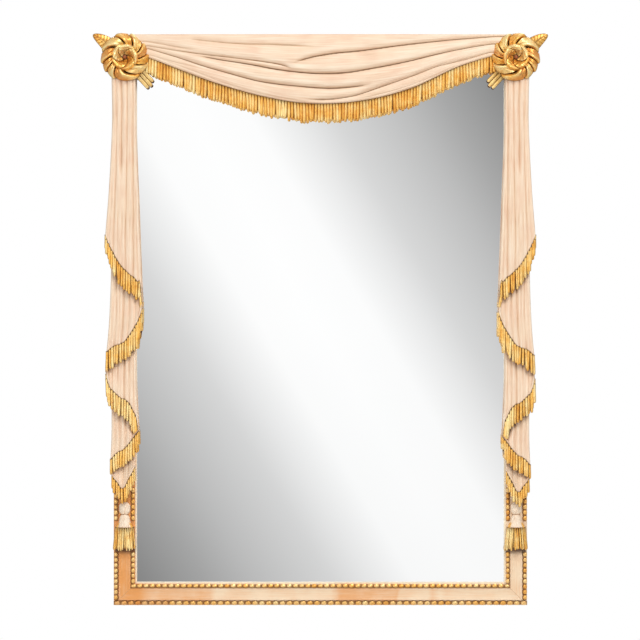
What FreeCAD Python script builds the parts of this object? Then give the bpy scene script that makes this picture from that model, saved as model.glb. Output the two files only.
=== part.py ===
import FreeCAD, Part

import math
import os

from FreeCAD import Matrix, Placement, Rotation, Vector

# Carved wall mirror: a mitred, beaded frame dressed with a carved swag, two side drops, corner
# rosettes and tassels. Millimetres, +Z up. The glass faces -Y and the wall lies towards +Y.
# The origin lies midway between the two keyhole entries, on the back of the frame.

# Frame
frame_width = 828.0
frame_height = 1140.0
frame_depth = 28.0
face_width = 46.0
hanger_drop = 240.0

# Gaps shared by all pieces
seat_gap = 0.3
fit_gap = 0.05
cut_overrun = 5.0

# Moulding section
outer_bead_radius = 4.9
inner_bead_radius = 4.4
bead_margin = 0.3
seat_drop = 3.0
outer_chamfer = 3.0
band_margin = 1.5
cove_depth = 2.0

# Bead spacing
rail_outer_pitch = 13.7
rail_inner_pitch = 12.4
stile_outer_pitch = 10.6
stile_inner_pitch = 11.4
bead_neck_share = 0.6

# Slip, glass and backing
slip_width = 3.0
slip_setback = 5.0
rabbet_width = 10.0
glass_thickness = 4.0
felt_thickness = 1.5
board_thickness = 5.0
pack_gap = 0.8

# Corner keys
key_leg = 36.0
key_thickness = 4.0
key_setback = 13.0

# Countersunk wood screws
screw_radius = 1.7
screw_head_radius = 3.6
screw_head_height = 1.9
plate_screw_length = 14.0
carving_screw_bite = 10.0

# Keyhole hanger plates
plate_width = 20.0
plate_length = 56.0
plate_thickness = 2.0
plate_inset = 16.0
plate_screw_spread = 44.0
entry_radius = 5.0
slot_radius = 2.4
slot_rise = 13.0
head_pocket_depth = 9.0
head_pocket_margin = 1.5

# Turn buttons
button_reach = 22.0
button_radius = 5.5
button_thickness = 1.5
button_gap = 0.2
pivot_setback = 8.0
pan_head_radius = 3.5
pan_head_height = 1.8
button_screw_length = 14.0
button_stile_share = 0.2
button_rail_share = 0.25

# Wall bumpers
bumper_radius = 7.0
bumper_thickness = 4.5
bumper_inset = 14.0

# Rosettes
rosette_inset = 23.0
rosette_drop = 43.0
wreath_radius = 48.5
wreath_base_radius = 45.0
wreath_base_depth = 10.0
wreath_lobes = 10
wreath_lobe_height = 19.0
wreath_lobe_length = 17.0
lobe_twist_degrees = 35.0
rose_radius = 25.0
rose_base_depth = 7.0
rose_petals = 6
rose_petal_height = 13.0
rose_eye_radius = 4.0
rose_eye_depth = 10.0
pin_radius = 1.6
pin_bite = 6.0
dowel_radius = 4.0
dowel_bite = 7.0
dowel_length = 19.0
dowel_drop = 14.0
dowel_spread = 20.0

# Leaf and stems that stand out from each rosette
leaf_reach = 77.5
leaf_half_width = 11.0
leaf_depth = 7.0
leaf_angle_degrees = 35.5
stem_reach = 82.0
stem_radius = 3.7
stem_overlap = 0.3
stem_angle_degrees = 227.0
stem_reach_shares = (0.92, 1.0, 0.88)

# Swag: depths below its top edge run from the left rosette to the right one
swag_rise = 2.5
swag_drop = 139.0
swag_edge_depth = 15.0
swag_crown = 12.0
swag_fold = 7.0
swag_hem_shares = (0.25, 0.48, 0.735, 0.925, 1.0, 0.935, 0.735, 0.42, 0.25)
swag_fold_shares = (0.0, 0.18, 0.4, 0.62, 0.82, 1.0)
swag_screw_shares = (-0.72, -0.26, 0.26, 0.72)
swag_screw_drop = 16.0

# Swag fringe
swag_fringe_drop = 37.0
swag_fringe_depth = 13.0
swag_fringe_end_share = 0.72

# Side drops: each level is (share down, share of the half width, share outwards)
drop_half_width = 32.0
drop_foot_height = 236.0
drop_side_depth = 13.0
drop_crown = 4.0
drop_fold = 4.0
drop_folds = 5
drop_level_shares = (
    (0.0, 0.72, 0.10),
    (0.148, 0.74, 0.10),
    (0.287, 0.86, 0.15),
    (0.417, 1.0, 0.22),
    (0.542, 0.88, 0.02),
    (0.647, 0.89, 0.15),
    (0.763, 0.86, 0.12),
    (0.879, 0.80, 0.10),
    (1.0, 0.69, 0.08),
)
drop_screw_shares = (0.12, 0.5, 0.9)

# Drop fringe: each pass is (share outwards, share down) at its start and at its end
drop_fringe_height = 34.0
drop_fringe_depth = 7.0
drop_fringe_end_share = 0.6
drop_fringe_points = 5
drop_pass_shares = (
    ((1.22, 0.414), (-1.12, 0.570)),
    ((-1.03, 0.596), (1.09, 0.686)),
    ((1.06, 0.746), (-0.87, 0.870)),
    ((-0.66, 0.889), (0.91, 0.936)),
)
drop_point_top_shares = ((0.84, 0.975), (0.12, 1.002), (-0.59, 0.955))
drop_point_foot_shares = ((-0.59, 0.98), (0.12, 1.032), (0.84, 0.998))

# Tassels
tassel_drop = 29.0
skirt_height = 46.0
skirt_top_half_width = 16.0
skirt_foot_half_width = 24.4
skirt_top_depth = 12.0
skirt_foot_depth = 17.0
cap_height = 26.0
cap_flare_height = 14.0
cap_neck_radius = 9.5
cap_top_radius = 6.5
cap_rim_radius = 15.0
knob_height = 25.0
knob_radius = 11.3

# Places worked out from the sizes above
half_width = frame_width / 2
hanger_height = frame_height - hanger_drop
bottom_z = -hanger_height
top_z = hanger_drop
middle_z = (top_z + bottom_z) / 2
face_y = -frame_depth
seat_y = -(frame_depth - seat_drop)
pack_depth = glass_thickness + felt_thickness + board_thickness
outer_seat = 2 * (outer_bead_radius + bead_margin)
inner_seat = 2 * (inner_bead_radius + bead_margin)
moulding_width = face_width - slip_width
inner_seat_start = moulding_width - inner_seat
back_width = face_width - rabbet_width
pivot_height = back_width - pivot_setback
hanger_x = half_width - plate_inset
rosette_x = half_width - rosette_inset
rosette_z = top_z - rosette_drop
wreath_front_y = face_y - wreath_base_depth
rose_eye_y = wreath_front_y - rose_base_depth - rose_petal_height + rose_eye_depth
swag_top_z = top_z + swag_rise
drop_foot_z = bottom_z + drop_foot_height
drop_length = rosette_z - drop_foot_z
drop_front_y = face_y - drop_side_depth - drop_crown - drop_fold
drapery_front_y = min(drop_front_y, face_y - swag_edge_depth - swag_crown - swag_fold)
tassel_x = half_width - (outer_seat + inner_seat_start) / 2
knob_top_z = drop_foot_z - tassel_drop
cap_top_z = knob_top_z - knob_height
skirt_top_z = cap_top_z - cap_height
cap_flare_z = skirt_top_z + cap_flare_height
skirt_foot_z = skirt_top_z - skirt_height

front = Vector(0, -1, 0)
back = Vector(0, 1, 0)
up = Vector(0, 0, 1)


def line(start, end):
    return Part.LineSegment(start, end).toShape()


def arc(start, middle, end):
    return Part.Arc(start, middle, end).toShape()


def smooth(points):
    curve = Part.BSplineCurve()
    curve.interpolate(points)
    return curve.toShape()


def polygon(points):
    return Part.Wire([line(a, b) for a, b in zip(points, points[1:] + points[:1])])


def prism(edges, y_from, y_to):
    """A flat outline drawn at y = 0 in X and Z, filled and drawn out between two depths."""
    face = Part.Face(Part.Wire(edges))
    face.translate(Vector(0, y_from, 0))
    return face.extrude(Vector(0, y_to - y_from, 0))


def block(x_from, x_to, y_from, y_to, z_from, z_to):
    corner = Vector(x_from, y_from, z_from)
    return Part.makeBox(x_to - x_from, y_to - y_from, z_to - z_from, corner)


def ellipsoid(x_half, y_half, z_half):
    stretch = Matrix()
    stretch.scale(x_half, y_half, z_half)
    return Part.makeSphere(1).transformGeometry(stretch)


def mirrored(shape):
    """The left-hand copy of a right-hand piece."""
    return shape.mirror(Vector(0, 0, 0), Vector(1, 0, 0))


def group(shapes):
    return Part.makeCompound(shapes)


# Frame bars and everything that runs along a side of the frame
side_turns = {"bottom": 0, "left": 90, "top": 180, "right": 270}
side_starts = {
    "bottom": Vector(0, 0, bottom_z),
    "left": Vector(-half_width, 0, middle_z),
    "top": Vector(0, 0, top_z),
    "right": Vector(half_width, 0, middle_z),
}
side_lengths = {"bottom": frame_width, "left": frame_height, "top": frame_width, "right": frame_height}


def on_side(shape, side):
    """Carries a piece drawn on the bottom side, with its outer edge on Z = 0, to a side."""
    placed = shape.copy()
    carried = Placement(side_starts[side], Rotation(back, side_turns[side]))
    placed.Placement = carried.multiply(placed.Placement)
    return placed


def mitred_bar(edges, side):
    """A section in Y and Z, drawn out along a side and mitred at both ends."""
    half = side_lengths[side] / 2
    face = Part.Face(Part.Wire(edges))
    face.translate(Vector(-half, 0, 0))
    bar = face.extrude(Vector(2 * half, 0, 0))
    ends = [
        Vector(-half, 0, 0),
        Vector(half, 0, 0),
        Vector(half - face_width, 0, face_width),
        Vector(face_width - half, 0, face_width),
    ]
    wedge = prism(polygon(ends).Edges, cut_overrun, face_y - cut_overrun)
    return on_side(bar.common(wedge), side)


def moulding_section():
    cove_start = outer_seat + band_margin
    cove_end = inner_seat_start - band_margin
    outline = [
        Vector(0, 0, 0),
        Vector(0, seat_y + outer_chamfer, 0),
        Vector(0, seat_y, outer_chamfer),
        Vector(0, seat_y, outer_seat),
        Vector(0, face_y, outer_seat),
        Vector(0, face_y, cove_start),
    ]
    cove_middle = Vector(0, face_y + cove_depth, (cove_start + cove_end) / 2)
    inward = [
        Vector(0, face_y, cove_end),
        Vector(0, face_y, inner_seat_start),
        Vector(0, seat_y, inner_seat_start),
        Vector(0, seat_y, moulding_width),
        Vector(0, -pack_depth, moulding_width),
        Vector(0, -pack_depth, back_width),
        Vector(0, 0, back_width),
        Vector(0, 0, 0),
    ]
    edges = [line(a, b) for a, b in zip(outline, outline[1:])]
    edges.append(arc(outline[-1], cove_middle, inward[0]))
    return edges + [line(a, b) for a, b in zip(inward, inward[1:])]


def slip(side):
    slip_y = seat_y + slip_setback
    corners = [
        Vector(0, -pack_depth, moulding_width),
        Vector(0, slip_y, moulding_width),
        Vector(0, slip_y, face_width),
        Vector(0, -pack_depth, face_width),
    ]
    return mitred_bar(polygon(corners).Edges, side)


def corner_key(grow):
    """The feather key of the lower left corner, grown a little for its slot."""
    inner = key_leg + grow
    corners = [
        Vector(-half_width, 0, bottom_z),
        Vector(-half_width + inner, 0, bottom_z),
        Vector(-half_width, 0, bottom_z + inner),
    ]
    depth = key_setback - grow
    return prism(polygon(corners).Edges, -depth, -(key_setback + key_thickness + grow))


def in_all_corners(shape):
    upper = shape.mirror(Vector(0, 0, middle_z), up)
    return [shape, mirrored(shape), upper, mirrored(upper)]


# Bead strips
def bead_strip(start, end, pitch, radius):
    """Half-round beads along X, standing on the bead seat."""
    count = max(1, round((end - start) / pitch))
    step = (end - start) / count
    neck = radius * bead_neck_share
    edges = [line(Vector(start, seat_y, 0), Vector(start, seat_y, neck))]
    for index in range(count):
        left = start + index * step
        beads = (Vector(left, seat_y, neck), Vector(left + step / 2, seat_y, radius))
        edges.append(arc(*beads, Vector(left + step, seat_y, neck)))
    edges.append(line(Vector(end, seat_y, neck), Vector(end, seat_y, 0)))
    edges.append(line(Vector(end, seat_y, 0), Vector(start, seat_y, 0)))
    return Part.Face(Part.Wire(edges)).revolve(Vector(0, seat_y, 0), Vector(1, 0, 0), 180)


def outer_beads(side, start, end, pitch):
    strip = bead_strip(start, end, pitch, outer_bead_radius)
    strip.translate(Vector(0, 0, outer_bead_radius))
    return on_side(strip, side)


def inner_beads(side, start, end, pitch):
    strip = bead_strip(start, end, pitch, inner_bead_radius)
    strip.translate(Vector(0, 0, inner_seat_start + inner_seat / 2))
    return on_side(strip, side)


def stile_beads(make_beads, first_height, pitch):
    """The left stile's row: one strip below the tassel and one between the tassel and the drop."""
    low_end = skirt_foot_z - seat_gap
    spans = ((bottom_z + first_height, low_end), (cap_flare_z, drop_foot_z - seat_gap))
    strips = [make_beads("left", middle_z - high, middle_z - low, pitch) for low, high in spans]
    return group(strips)


# Screws
def countersunk_screw(length, grow=0):
    """A screw whose flat head lies flush on Y = 0 and whose point looks to -Y."""
    head = Part.makeCone(
        screw_head_radius + grow, screw_radius + grow, screw_head_height, Vector(0, 0, 0), front
    )
    start = Vector(0, -screw_head_height, 0)
    shank = Part.makeCylinder(screw_radius + grow, length + grow - screw_head_height, start, front)
    return head.fuse(shank).removeSplitter()


def screws_at(places, length, grow=0):
    screws = []
    for x, z in places:
        screw = countersunk_screw(length, grow)
        screw.translate(Vector(x, 0, z))
        screws.append(screw)
    return screws


carving_screw_length = frame_depth + carving_screw_bite
plate_middle_z = slot_rise / 2
plate_screw_places = [
    (side * hanger_x, plate_middle_z + end * plate_screw_spread / 2)
    for side in (-1, 1)
    for end in (-1, 1)
]
swag_screw_places = [(share * rosette_x, top_z - swag_screw_drop) for share in swag_screw_shares]
drop_screw_places = [
    (side * rosette_x, rosette_z - share * drop_length)
    for side in (-1, 1)
    for share in drop_screw_shares
]


# Keyhole hangers
def keyhole(grow, depth):
    """The round entry and the slot above it, cut through from the back."""
    entry_cut = Part.makeCylinder(entry_radius + grow, depth + cut_overrun, Vector(0, cut_overrun, 0), front)
    width = slot_radius + grow
    slot_cut = block(-width, width, -depth, cut_overrun, 0, slot_rise)
    top = Vector(0, cut_overrun, slot_rise)
    round_end = Part.makeCylinder(width, depth + cut_overrun, top, front)
    return entry_cut.fuse([slot_cut, round_end])


def plate_blank(grow):
    half = plate_width / 2 + grow
    low = plate_middle_z - plate_length / 2 - grow
    high = plate_middle_z + plate_length / 2 + grow
    return block(-half, half, -plate_thickness - grow, 0, low, high)


def keyhole_plate():
    plate = plate_blank(0).cut(keyhole(0, plate_thickness + cut_overrun))
    plate.translate(Vector(hanger_x, 0, 0))
    return plate.cut(screws_at(plate_screw_places, plate_screw_length, fit_gap))


def hanger_pocket():
    """The plate's recess in the right stile, with room behind it for a screw head."""
    room = keyhole(0, head_pocket_depth)
    wide = entry_radius + head_pocket_margin
    room = room.fuse(block(-wide, wide, -head_pocket_depth, 0, -wide, slot_rise + wide))
    pocket = plate_blank(fit_gap).fuse(room)
    pocket.translate(Vector(hanger_x, 0, 0))
    return pocket


# Turn buttons: each has a side and a place along that side
button_stile_offset = button_stile_share * frame_height
button_rail_offset = button_rail_share * frame_width
button_places = {
    "left_upper_turn_button": ("left", -button_stile_offset),
    "left_lower_turn_button": ("left", button_stile_offset),
    "right_upper_turn_button": ("right", button_stile_offset),
    "right_lower_turn_button": ("right", -button_stile_offset),
    "top_left_turn_button": ("top", button_rail_offset),
    "top_right_turn_button": ("top", -button_rail_offset),
    "bottom_left_turn_button": ("bottom", -button_rail_offset),
    "bottom_right_turn_button": ("bottom", button_rail_offset),
}


def turn_button():
    """A flat button on the bottom side, pivoted on X = 0 and pointing over the board."""
    tip_height = pivot_height + button_reach
    low, high = button_gap, button_gap + button_thickness
    edges = [
        line(Vector(-button_radius, 0, pivot_height), Vector(-button_radius, 0, tip_height)),
        arc(
            Vector(-button_radius, 0, tip_height),
            Vector(0, 0, tip_height + button_radius),
            Vector(button_radius, 0, tip_height),
        ),
        line(Vector(button_radius, 0, tip_height), Vector(button_radius, 0, pivot_height)),
        arc(
            Vector(button_radius, 0, pivot_height),
            Vector(0, 0, pivot_height - button_radius),
            Vector(-button_radius, 0, pivot_height),
        ),
    ]
    hole_top = Vector(0, high + cut_overrun, pivot_height)
    hole = Part.makeCylinder(screw_radius + fit_gap, high + cut_overrun, hole_top, front)
    return prism(edges, low, high).cut(hole)


def button_screw(grow=0):
    """The button's pan-headed screw, on the bottom side at X = 0."""
    under_head = button_gap + button_thickness + button_gap
    top = Vector(0, under_head + pan_head_height, pivot_height)
    head = Part.makeCylinder(pan_head_radius, pan_head_height, top, front)
    shank_length = under_head + button_screw_length + grow
    neck = Vector(0, under_head, pivot_height)
    shank = Part.makeCylinder(screw_radius + grow, shank_length, neck, front)
    return head.fuse(shank).removeSplitter()


def at_button(shape, side, along):
    moved = shape.copy()
    moved.translate(Vector(along, 0, 0))
    return on_side(moved, side)


# Rosettes: hand is 1 for the right-hand corner and -1 for the left-hand one
def wreath_disc(radius, y_from, y_to, hand=1):
    centre = Vector(hand * rosette_x, y_from, rosette_z)
    return Part.makeCylinder(radius, y_from - y_to, centre, front)


def around_rosette(radius, degrees, hand=1):
    turn = math.radians(degrees)
    x = rosette_x + radius * math.cos(turn)
    return Vector(hand * x, 0, rosette_z + radius * math.sin(turn))


def ring_sector(inner, outer, angles, y_from, y_to, hand):
    """A slice of a ring about the rosette's centre, between the first and last of three angles."""
    outside = [around_rosette(outer, degrees, hand) for degrees in angles]
    inside = [around_rosette(inner, degrees, hand) for degrees in angles]
    edges = [
        line(inside[0], outside[0]),
        arc(*outside),
        line(outside[2], inside[2]),
        arc(*inside[::-1]),
    ]
    return prism(edges, y_from, y_to)


def lobes(count, inner, outer, half_length, height, floor_y, hand):
    """Rounded lobes side by side around the rosette's centre, each trimmed to its own slice."""
    step = 360 / count
    half_depth = (outer - inner) / 2
    made = []
    for index in range(count):
        degrees = index * step
        lobe = ellipsoid(half_depth, height, half_length)
        lobe.rotate(Vector(0, 0, 0), back, hand * (lobe_twist_degrees - degrees))
        place = around_rosette((inner + outer) / 2, degrees, hand)
        lobe.translate(Vector(place.x, floor_y, place.z))
        angles = (degrees - step / 2, degrees, degrees + step / 2)
        slot = ring_sector(inner, outer, angles, floor_y, floor_y - height - cut_overrun, hand)
        made.append(lobe.common(slot))
    return made


def dowels(grow=0, hand=1):
    made = []
    for z in (rosette_z - dowel_drop, rosette_z - dowel_drop - dowel_spread):
        start = Vector(hand * rosette_x, face_y - dowel_bite - grow, z)
        made.append(Part.makeCylinder(dowel_radius + grow, dowel_length + 2 * grow, start, back))
    return made


def wreath(hand):
    base = wreath_disc(wreath_base_radius, face_y, wreath_front_y, hand)
    ring = lobes(
        wreath_lobes,
        rose_radius + seat_gap,
        wreath_radius,
        wreath_lobe_length,
        wreath_lobe_height,
        wreath_front_y,
        hand,
    )
    return base.fuse(ring).cut(dowels(fit_gap, hand) + [rose_pin(hand, fit_gap)])


def rose(hand):
    base_front_y = wreath_front_y - rose_base_depth
    base = wreath_disc(rose_radius, wreath_front_y, base_front_y, hand)
    petals = lobes(
        rose_petals,
        rose_eye_radius,
        rose_radius,
        rose_radius / 2,
        rose_petal_height,
        base_front_y,
        hand,
    )
    eye = wreath_disc(rose_eye_radius, rose_eye_y, base_front_y - rose_petal_height - cut_overrun, hand)
    return base.fuse(petals).cut([eye, rose_pin(hand, fit_gap)])


def rose_pin(hand, grow=0):
    """The pin that holds the rose, with its round head in the rose's eye."""
    head_radius = rose_eye_radius - seat_gap
    centre = Vector(hand * rosette_x, rose_eye_y, rosette_z)
    head = Part.makeSphere(head_radius, centre, front, 0, 90, 360)
    end_y = wreath_front_y + pin_bite
    shank = Part.makeCylinder(pin_radius + grow, end_y - rose_eye_y + grow, centre, back)
    return head.fuse(shank).removeSplitter()


def leaf():
    """A pointed leaf that stands out and up from the wreath's base."""
    root = wreath_base_radius - leaf_half_width
    tip = around_rosette(leaf_reach, leaf_angle_degrees)
    start = around_rosette(root, leaf_angle_degrees)
    middle = around_rosette((root + leaf_reach) / 2, leaf_angle_degrees)
    turn = math.radians(leaf_angle_degrees)
    across = Vector(-math.sin(turn), 0, math.cos(turn)) * leaf_half_width
    edges = [arc(start, middle + across, tip), arc(tip, middle - across, start)]
    blade = prism(edges, face_y, face_y - leaf_depth)
    return blade.cut(wreath_disc(wreath_base_radius, cut_overrun, wreath_front_y - cut_overrun))


def stem_directions():
    """The way along the stems, and the way across them towards the drop."""
    turn = math.radians(stem_angle_degrees)
    return Vector(math.cos(turn), 0, math.sin(turn)), Vector(-math.sin(turn), 0, math.cos(turn))


stem_spacing = 2 * stem_radius - stem_overlap
last_stem_offset = stem_spacing * (len(stem_reach_shares) - 1) / 2


def stems():
    """A bundle of reeds that stands in and down from the wreath's base."""
    along, across = stem_directions()
    centre = Vector(rosette_x, face_y - stem_radius, rosette_z)
    reeds = []
    for index, share in enumerate(stem_reach_shares):
        start = centre + across * (index * stem_spacing - last_stem_offset)
        reeds.append(Part.makeCylinder(stem_radius, stem_reach * share, start, along))
    bundle = reeds[0].fuse(reeds[1:])
    return bundle.cut(wreath_disc(wreath_base_radius, cut_overrun, wreath_front_y - cut_overrun))


def beside_stems():
    """The space from the stems round to the drop, where no fringe hangs."""
    along, across = stem_directions()
    reach = stem_reach + seat_gap
    centre = Vector(rosette_x, 0, rosette_z)
    near = centre - across * (last_stem_offset + stem_radius + seat_gap)
    far = centre + across * reach
    corners = [near, near + along * reach, far + along * reach, far]
    return prism(polygon(corners).Edges, face_y + cut_overrun, drapery_front_y - cut_overrun)


def clear_of_wreath(shape):
    """Trims a piece of drapery so that it comes out from under the wreath's edge."""
    disc = wreath_disc(wreath_radius + seat_gap, cut_overrun, drapery_front_y - cut_overrun)
    return shape.cut(disc)


# Swag
def swag_heights():
    """Each station's place along X with the swag's height there."""
    last = len(swag_hem_shares) - 1
    return [
        (rosette_x * (2 * index / last - 1), swag_drop * share)
        for index, share in enumerate(swag_hem_shares)
    ]


def swag_section(x, height):
    """A section of the swag: a flat back and a front of rounded folds."""
    full_share = height / swag_drop
    fold = swag_fold * full_share

    def point(share, bulge):
        depth = swag_edge_depth + swag_crown * full_share * math.sin(math.pi * share) + bulge
        return Vector(x, face_y - depth, swag_top_z - height * share)

    top_back = Vector(x, face_y, swag_top_z)
    foot_back = Vector(x, face_y, swag_top_z - height)
    edges = [line(foot_back, top_back), line(top_back, point(0, 0))]
    for upper, lower in zip(swag_fold_shares, swag_fold_shares[1:]):
        middle = (upper + lower) / 2
        edges.append(arc(point(upper, 0), point(middle, fold), point(lower, 0)))
    edges.append(line(point(1, 0), foot_back))
    return Part.Wire(edges)


def between_rosettes(shape):
    return mirrored(clear_of_wreath(mirrored(clear_of_wreath(shape))))


def swag():
    body = Part.makeLoft([swag_section(x, height) for x, height in swag_heights()], True)
    body = between_rosettes(body)
    return body.cut(screws_at(swag_screw_places, carving_screw_length, fit_gap))


def swag_fringe():
    """The fringe below the hem, shorter towards the rosettes."""
    sections = []
    for x, height in swag_heights():
        share = 1 - (1 - swag_fringe_end_share) * (x / rosette_x) ** 2
        high = swag_top_z - height - seat_gap
        low = high - swag_fringe_drop * share
        front_y = face_y - swag_fringe_depth
        corners = [
            Vector(x, face_y, low),
            Vector(x, face_y, high),
            Vector(x, front_y, high),
            Vector(x, front_y, low),
        ]
        sections.append(polygon(corners))
    body = between_rosettes(Part.makeLoft(sections, True))
    return body.cut([beside_stems(), mirrored(beside_stems())])


# Side drops, drawn on the right-hand side
def drop_place(outward_share, down_share, y=0):
    return Vector(rosette_x + outward_share * drop_half_width, y, rosette_z - down_share * drop_length)


def drop_section(level):
    down_share, width_share, outward_share = level

    def point(share, bulge):
        across = outward_share + width_share * (2 * share - 1)
        depth = drop_side_depth + drop_crown * math.sin(math.pi * share) + bulge
        return drop_place(across, down_share, face_y - depth)

    inner_back = drop_place(outward_share - width_share, down_share, face_y)
    outer_back = drop_place(outward_share + width_share, down_share, face_y)
    edges = [line(outer_back, inner_back), line(inner_back, point(0, 0))]
    for index in range(drop_folds):
        start, end = index / drop_folds, (index + 1) / drop_folds
        edges.append(arc(point(start, 0), point((start + end) / 2, drop_fold), point(end, 0)))
    edges.append(line(point(1, 0), outer_back))
    return Part.Wire(edges)


def drop():
    body = Part.makeLoft([drop_section(level) for level in drop_level_shares], True)
    return clear_of_wreath(body).cut(screws_at(drop_screw_places, carving_screw_length, fit_gap))


def fringe_pass(start, end):
    """One sweep of the fringe across the drop, steep at the edges and flatter between them."""
    upper, lower = [], []
    for index in range(drop_fringe_points):
        share = index / (drop_fringe_points - 1)
        eased = (1 - math.cos(math.pi * share)) / 2
        top = drop_place(
            start[0] + (end[0] - start[0]) * eased, start[1] + (end[1] - start[1]) * share
        )
        swell = drop_fringe_end_share + (1 - drop_fringe_end_share) * math.sin(math.pi * share)
        upper.append(top)
        lower.append(top - up * drop_fringe_height * swell)
    edges = [
        smooth(upper),
        line(upper[-1], lower[-1]),
        smooth(lower[::-1]),
        line(lower[0], upper[0]),
    ]
    back_y = drop_front_y - seat_gap
    return prism(edges, back_y, back_y - drop_fringe_depth)


def fringe_point():
    """The V of fringe that ends the drop."""
    corners = [drop_place(*shares) for shares in drop_point_top_shares + drop_point_foot_shares]
    back_y = drop_front_y - seat_gap
    return prism(polygon(corners).Edges, back_y, back_y - drop_fringe_depth)


def drop_fringe():
    return group([fringe_pass(start, end) for start, end in drop_pass_shares] + [fringe_point()])


# Tassels, drawn on the right-hand side
def half_turned(edges):
    """A turned form about the tassel's upright axis, cut flat where it lies on the frame."""
    return Part.Face(Part.Wire(edges)).revolve(Vector(tassel_x, face_y, 0), up, 180)


def tassel_point(radius, z):
    return Vector(tassel_x - radius, face_y, z)


def tassel_knob():
    middle_height = (cap_top_z + knob_top_z) / 2
    foot = tassel_point(0, cap_top_z)
    top = tassel_point(0, knob_top_z)
    return half_turned([arc(foot, tassel_point(knob_radius, middle_height), top), line(top, foot)])


def tassel_cap():
    rim_z = skirt_top_z
    outline = [
        tassel_point(0, rim_z),
        tassel_point(cap_rim_radius, rim_z),
        tassel_point(cap_neck_radius, cap_flare_z),
        tassel_point(cap_top_radius, cap_top_z),
        tassel_point(0, cap_top_z),
    ]
    return half_turned(polygon(outline).Edges)


def skirt_section(half, depth, z):
    left = Vector(tassel_x - half, face_y, z)
    right = Vector(tassel_x + half, face_y, z)
    return Part.Wire([arc(left, Vector(tassel_x, face_y - depth, z), right), line(right, left)])


def tassel_skirt():
    foot = skirt_section(skirt_foot_half_width, skirt_foot_depth, skirt_foot_z)
    top = skirt_section(skirt_top_half_width, skirt_top_depth, skirt_top_z)
    return Part.makeLoft([foot, top], True)


# Frame bars with every slot, pocket and hole that they carry
def frame_bar(side):
    bar = mitred_bar(moulding_section(), side)
    bar = bar.cut(in_all_corners(corner_key(fit_gap)))
    screw_holes = [
        at_button(button_screw(fit_gap), place_side, along)
        for place_side, along in button_places.values()
        if place_side == side
    ]
    return bar.cut(screw_holes)


def top_rail():
    return frame_bar("top").cut(screws_at(swag_screw_places, carving_screw_length, fit_gap))


def right_stile():
    holes = [hanger_pocket()]
    holes += dowels(fit_gap)
    holes += screws_at(plate_screw_places, plate_screw_length, fit_gap)
    holes += screws_at(drop_screw_places, carving_screw_length, fit_gap)
    return frame_bar("right").cut(holes)


# Glass, felt and board in the rabbet
def rabbet_sheet(y_front, thickness):
    inset = back_width + pack_gap
    low, high = bottom_z + inset, top_z - inset
    return block(inset - half_width, half_width - inset, y_front, y_front + thickness, low, high)


def wall_bumpers():
    made = []
    for x in (bumper_inset - half_width, half_width - bumper_inset):
        for z in (bottom_z + bumper_inset, top_z - bumper_inset):
            made.append(Part.makeCylinder(bumper_radius, bumper_thickness, Vector(x, 0, z), back))
    return made


def make_pieces():
    pieces = {
        "bottom_rail": frame_bar("bottom"),
        "top_rail": top_rail(),
        "right_stile": right_stile(),
        "corner_keys": group(in_all_corners(corner_key(0))),
        "mirror_plate": rabbet_sheet(-pack_depth, glass_thickness),
        "felt_sheet": rabbet_sheet(glass_thickness - pack_depth, felt_thickness),
        "backing_board": rabbet_sheet(-board_thickness, board_thickness),
        "swag": swag(),
        "swag_fringe": swag_fringe(),
        "swag_screws": group(screws_at(swag_screw_places, carving_screw_length)),
        "drop_screws": group(screws_at(drop_screw_places, carving_screw_length)),
        "hanger_screws": group(screws_at(plate_screw_places, plate_screw_length)),
        "rosette_dowels": group(dowels() + dowels(hand=-1)),
        "wall_bumpers": group(wall_bumpers()),
    }
    pieces["left_stile"] = mirrored(pieces["right_stile"])
    for side in side_turns:
        pieces[f"{side}_slip"] = slip(side)

    rail_outer_half = half_width
    rail_inner_half = half_width - inner_seat_start
    pieces["bottom_outer_beads"] = outer_beads(
        "bottom", -rail_outer_half, rail_outer_half, rail_outer_pitch
    )
    pieces["bottom_inner_beads"] = inner_beads(
        "bottom", -rail_inner_half, rail_inner_half, rail_inner_pitch
    )
    pieces["left_outer_beads"] = stile_beads(outer_beads, outer_seat, stile_outer_pitch)
    pieces["left_inner_beads"] = stile_beads(inner_beads, moulding_width, stile_inner_pitch)
    pieces["right_outer_beads"] = mirrored(pieces["left_outer_beads"])
    pieces["right_inner_beads"] = mirrored(pieces["left_inner_beads"])

    right_hand = {
        "drop": drop(),
        "drop_fringe": drop_fringe(),
        "tassel_knob": tassel_knob(),
        "tassel_cap": tassel_cap(),
        "tassel_skirt": tassel_skirt(),
        "rosette_leaf": leaf(),
        "rosette_stems": stems(),
        "keyhole_plate": keyhole_plate(),
    }
    for name, shape in right_hand.items():
        pieces[f"right_{name}"] = shape
        pieces[f"left_{name}"] = mirrored(shape)
    for side, hand in (("right", 1), ("left", -1)):
        pieces[f"{side}_rosette_wreath"] = wreath(hand)
        pieces[f"{side}_rosette_rose"] = rose(hand)
        pieces[f"{side}_rosette_pin"] = rose_pin(hand)

    button_screws = []
    for name, (side, along) in button_places.items():
        pieces[name] = at_button(turn_button(), side, along)
        button_screws.append(at_button(button_screw(), side, along))
    pieces["turn_button_screws"] = group(button_screws)
    return pieces


def main():
    os.makedirs("parts", exist_ok=True)
    for name, shape in make_pieces().items():
        shape.exportStep(f"parts/{name}.step")
        print(name, len(shape.Solids), "solids", round(shape.Volume), "mm3", "valid", shape.isValid())


main()
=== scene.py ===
"""Carved wall mirror, dressed with painted drapery, gilt fringe, corner rosettes and tassels."""

import math
from typing import NamedTuple

import bmesh
import bpy
import numpy as np
from mathutils import Matrix, Vector


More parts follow.
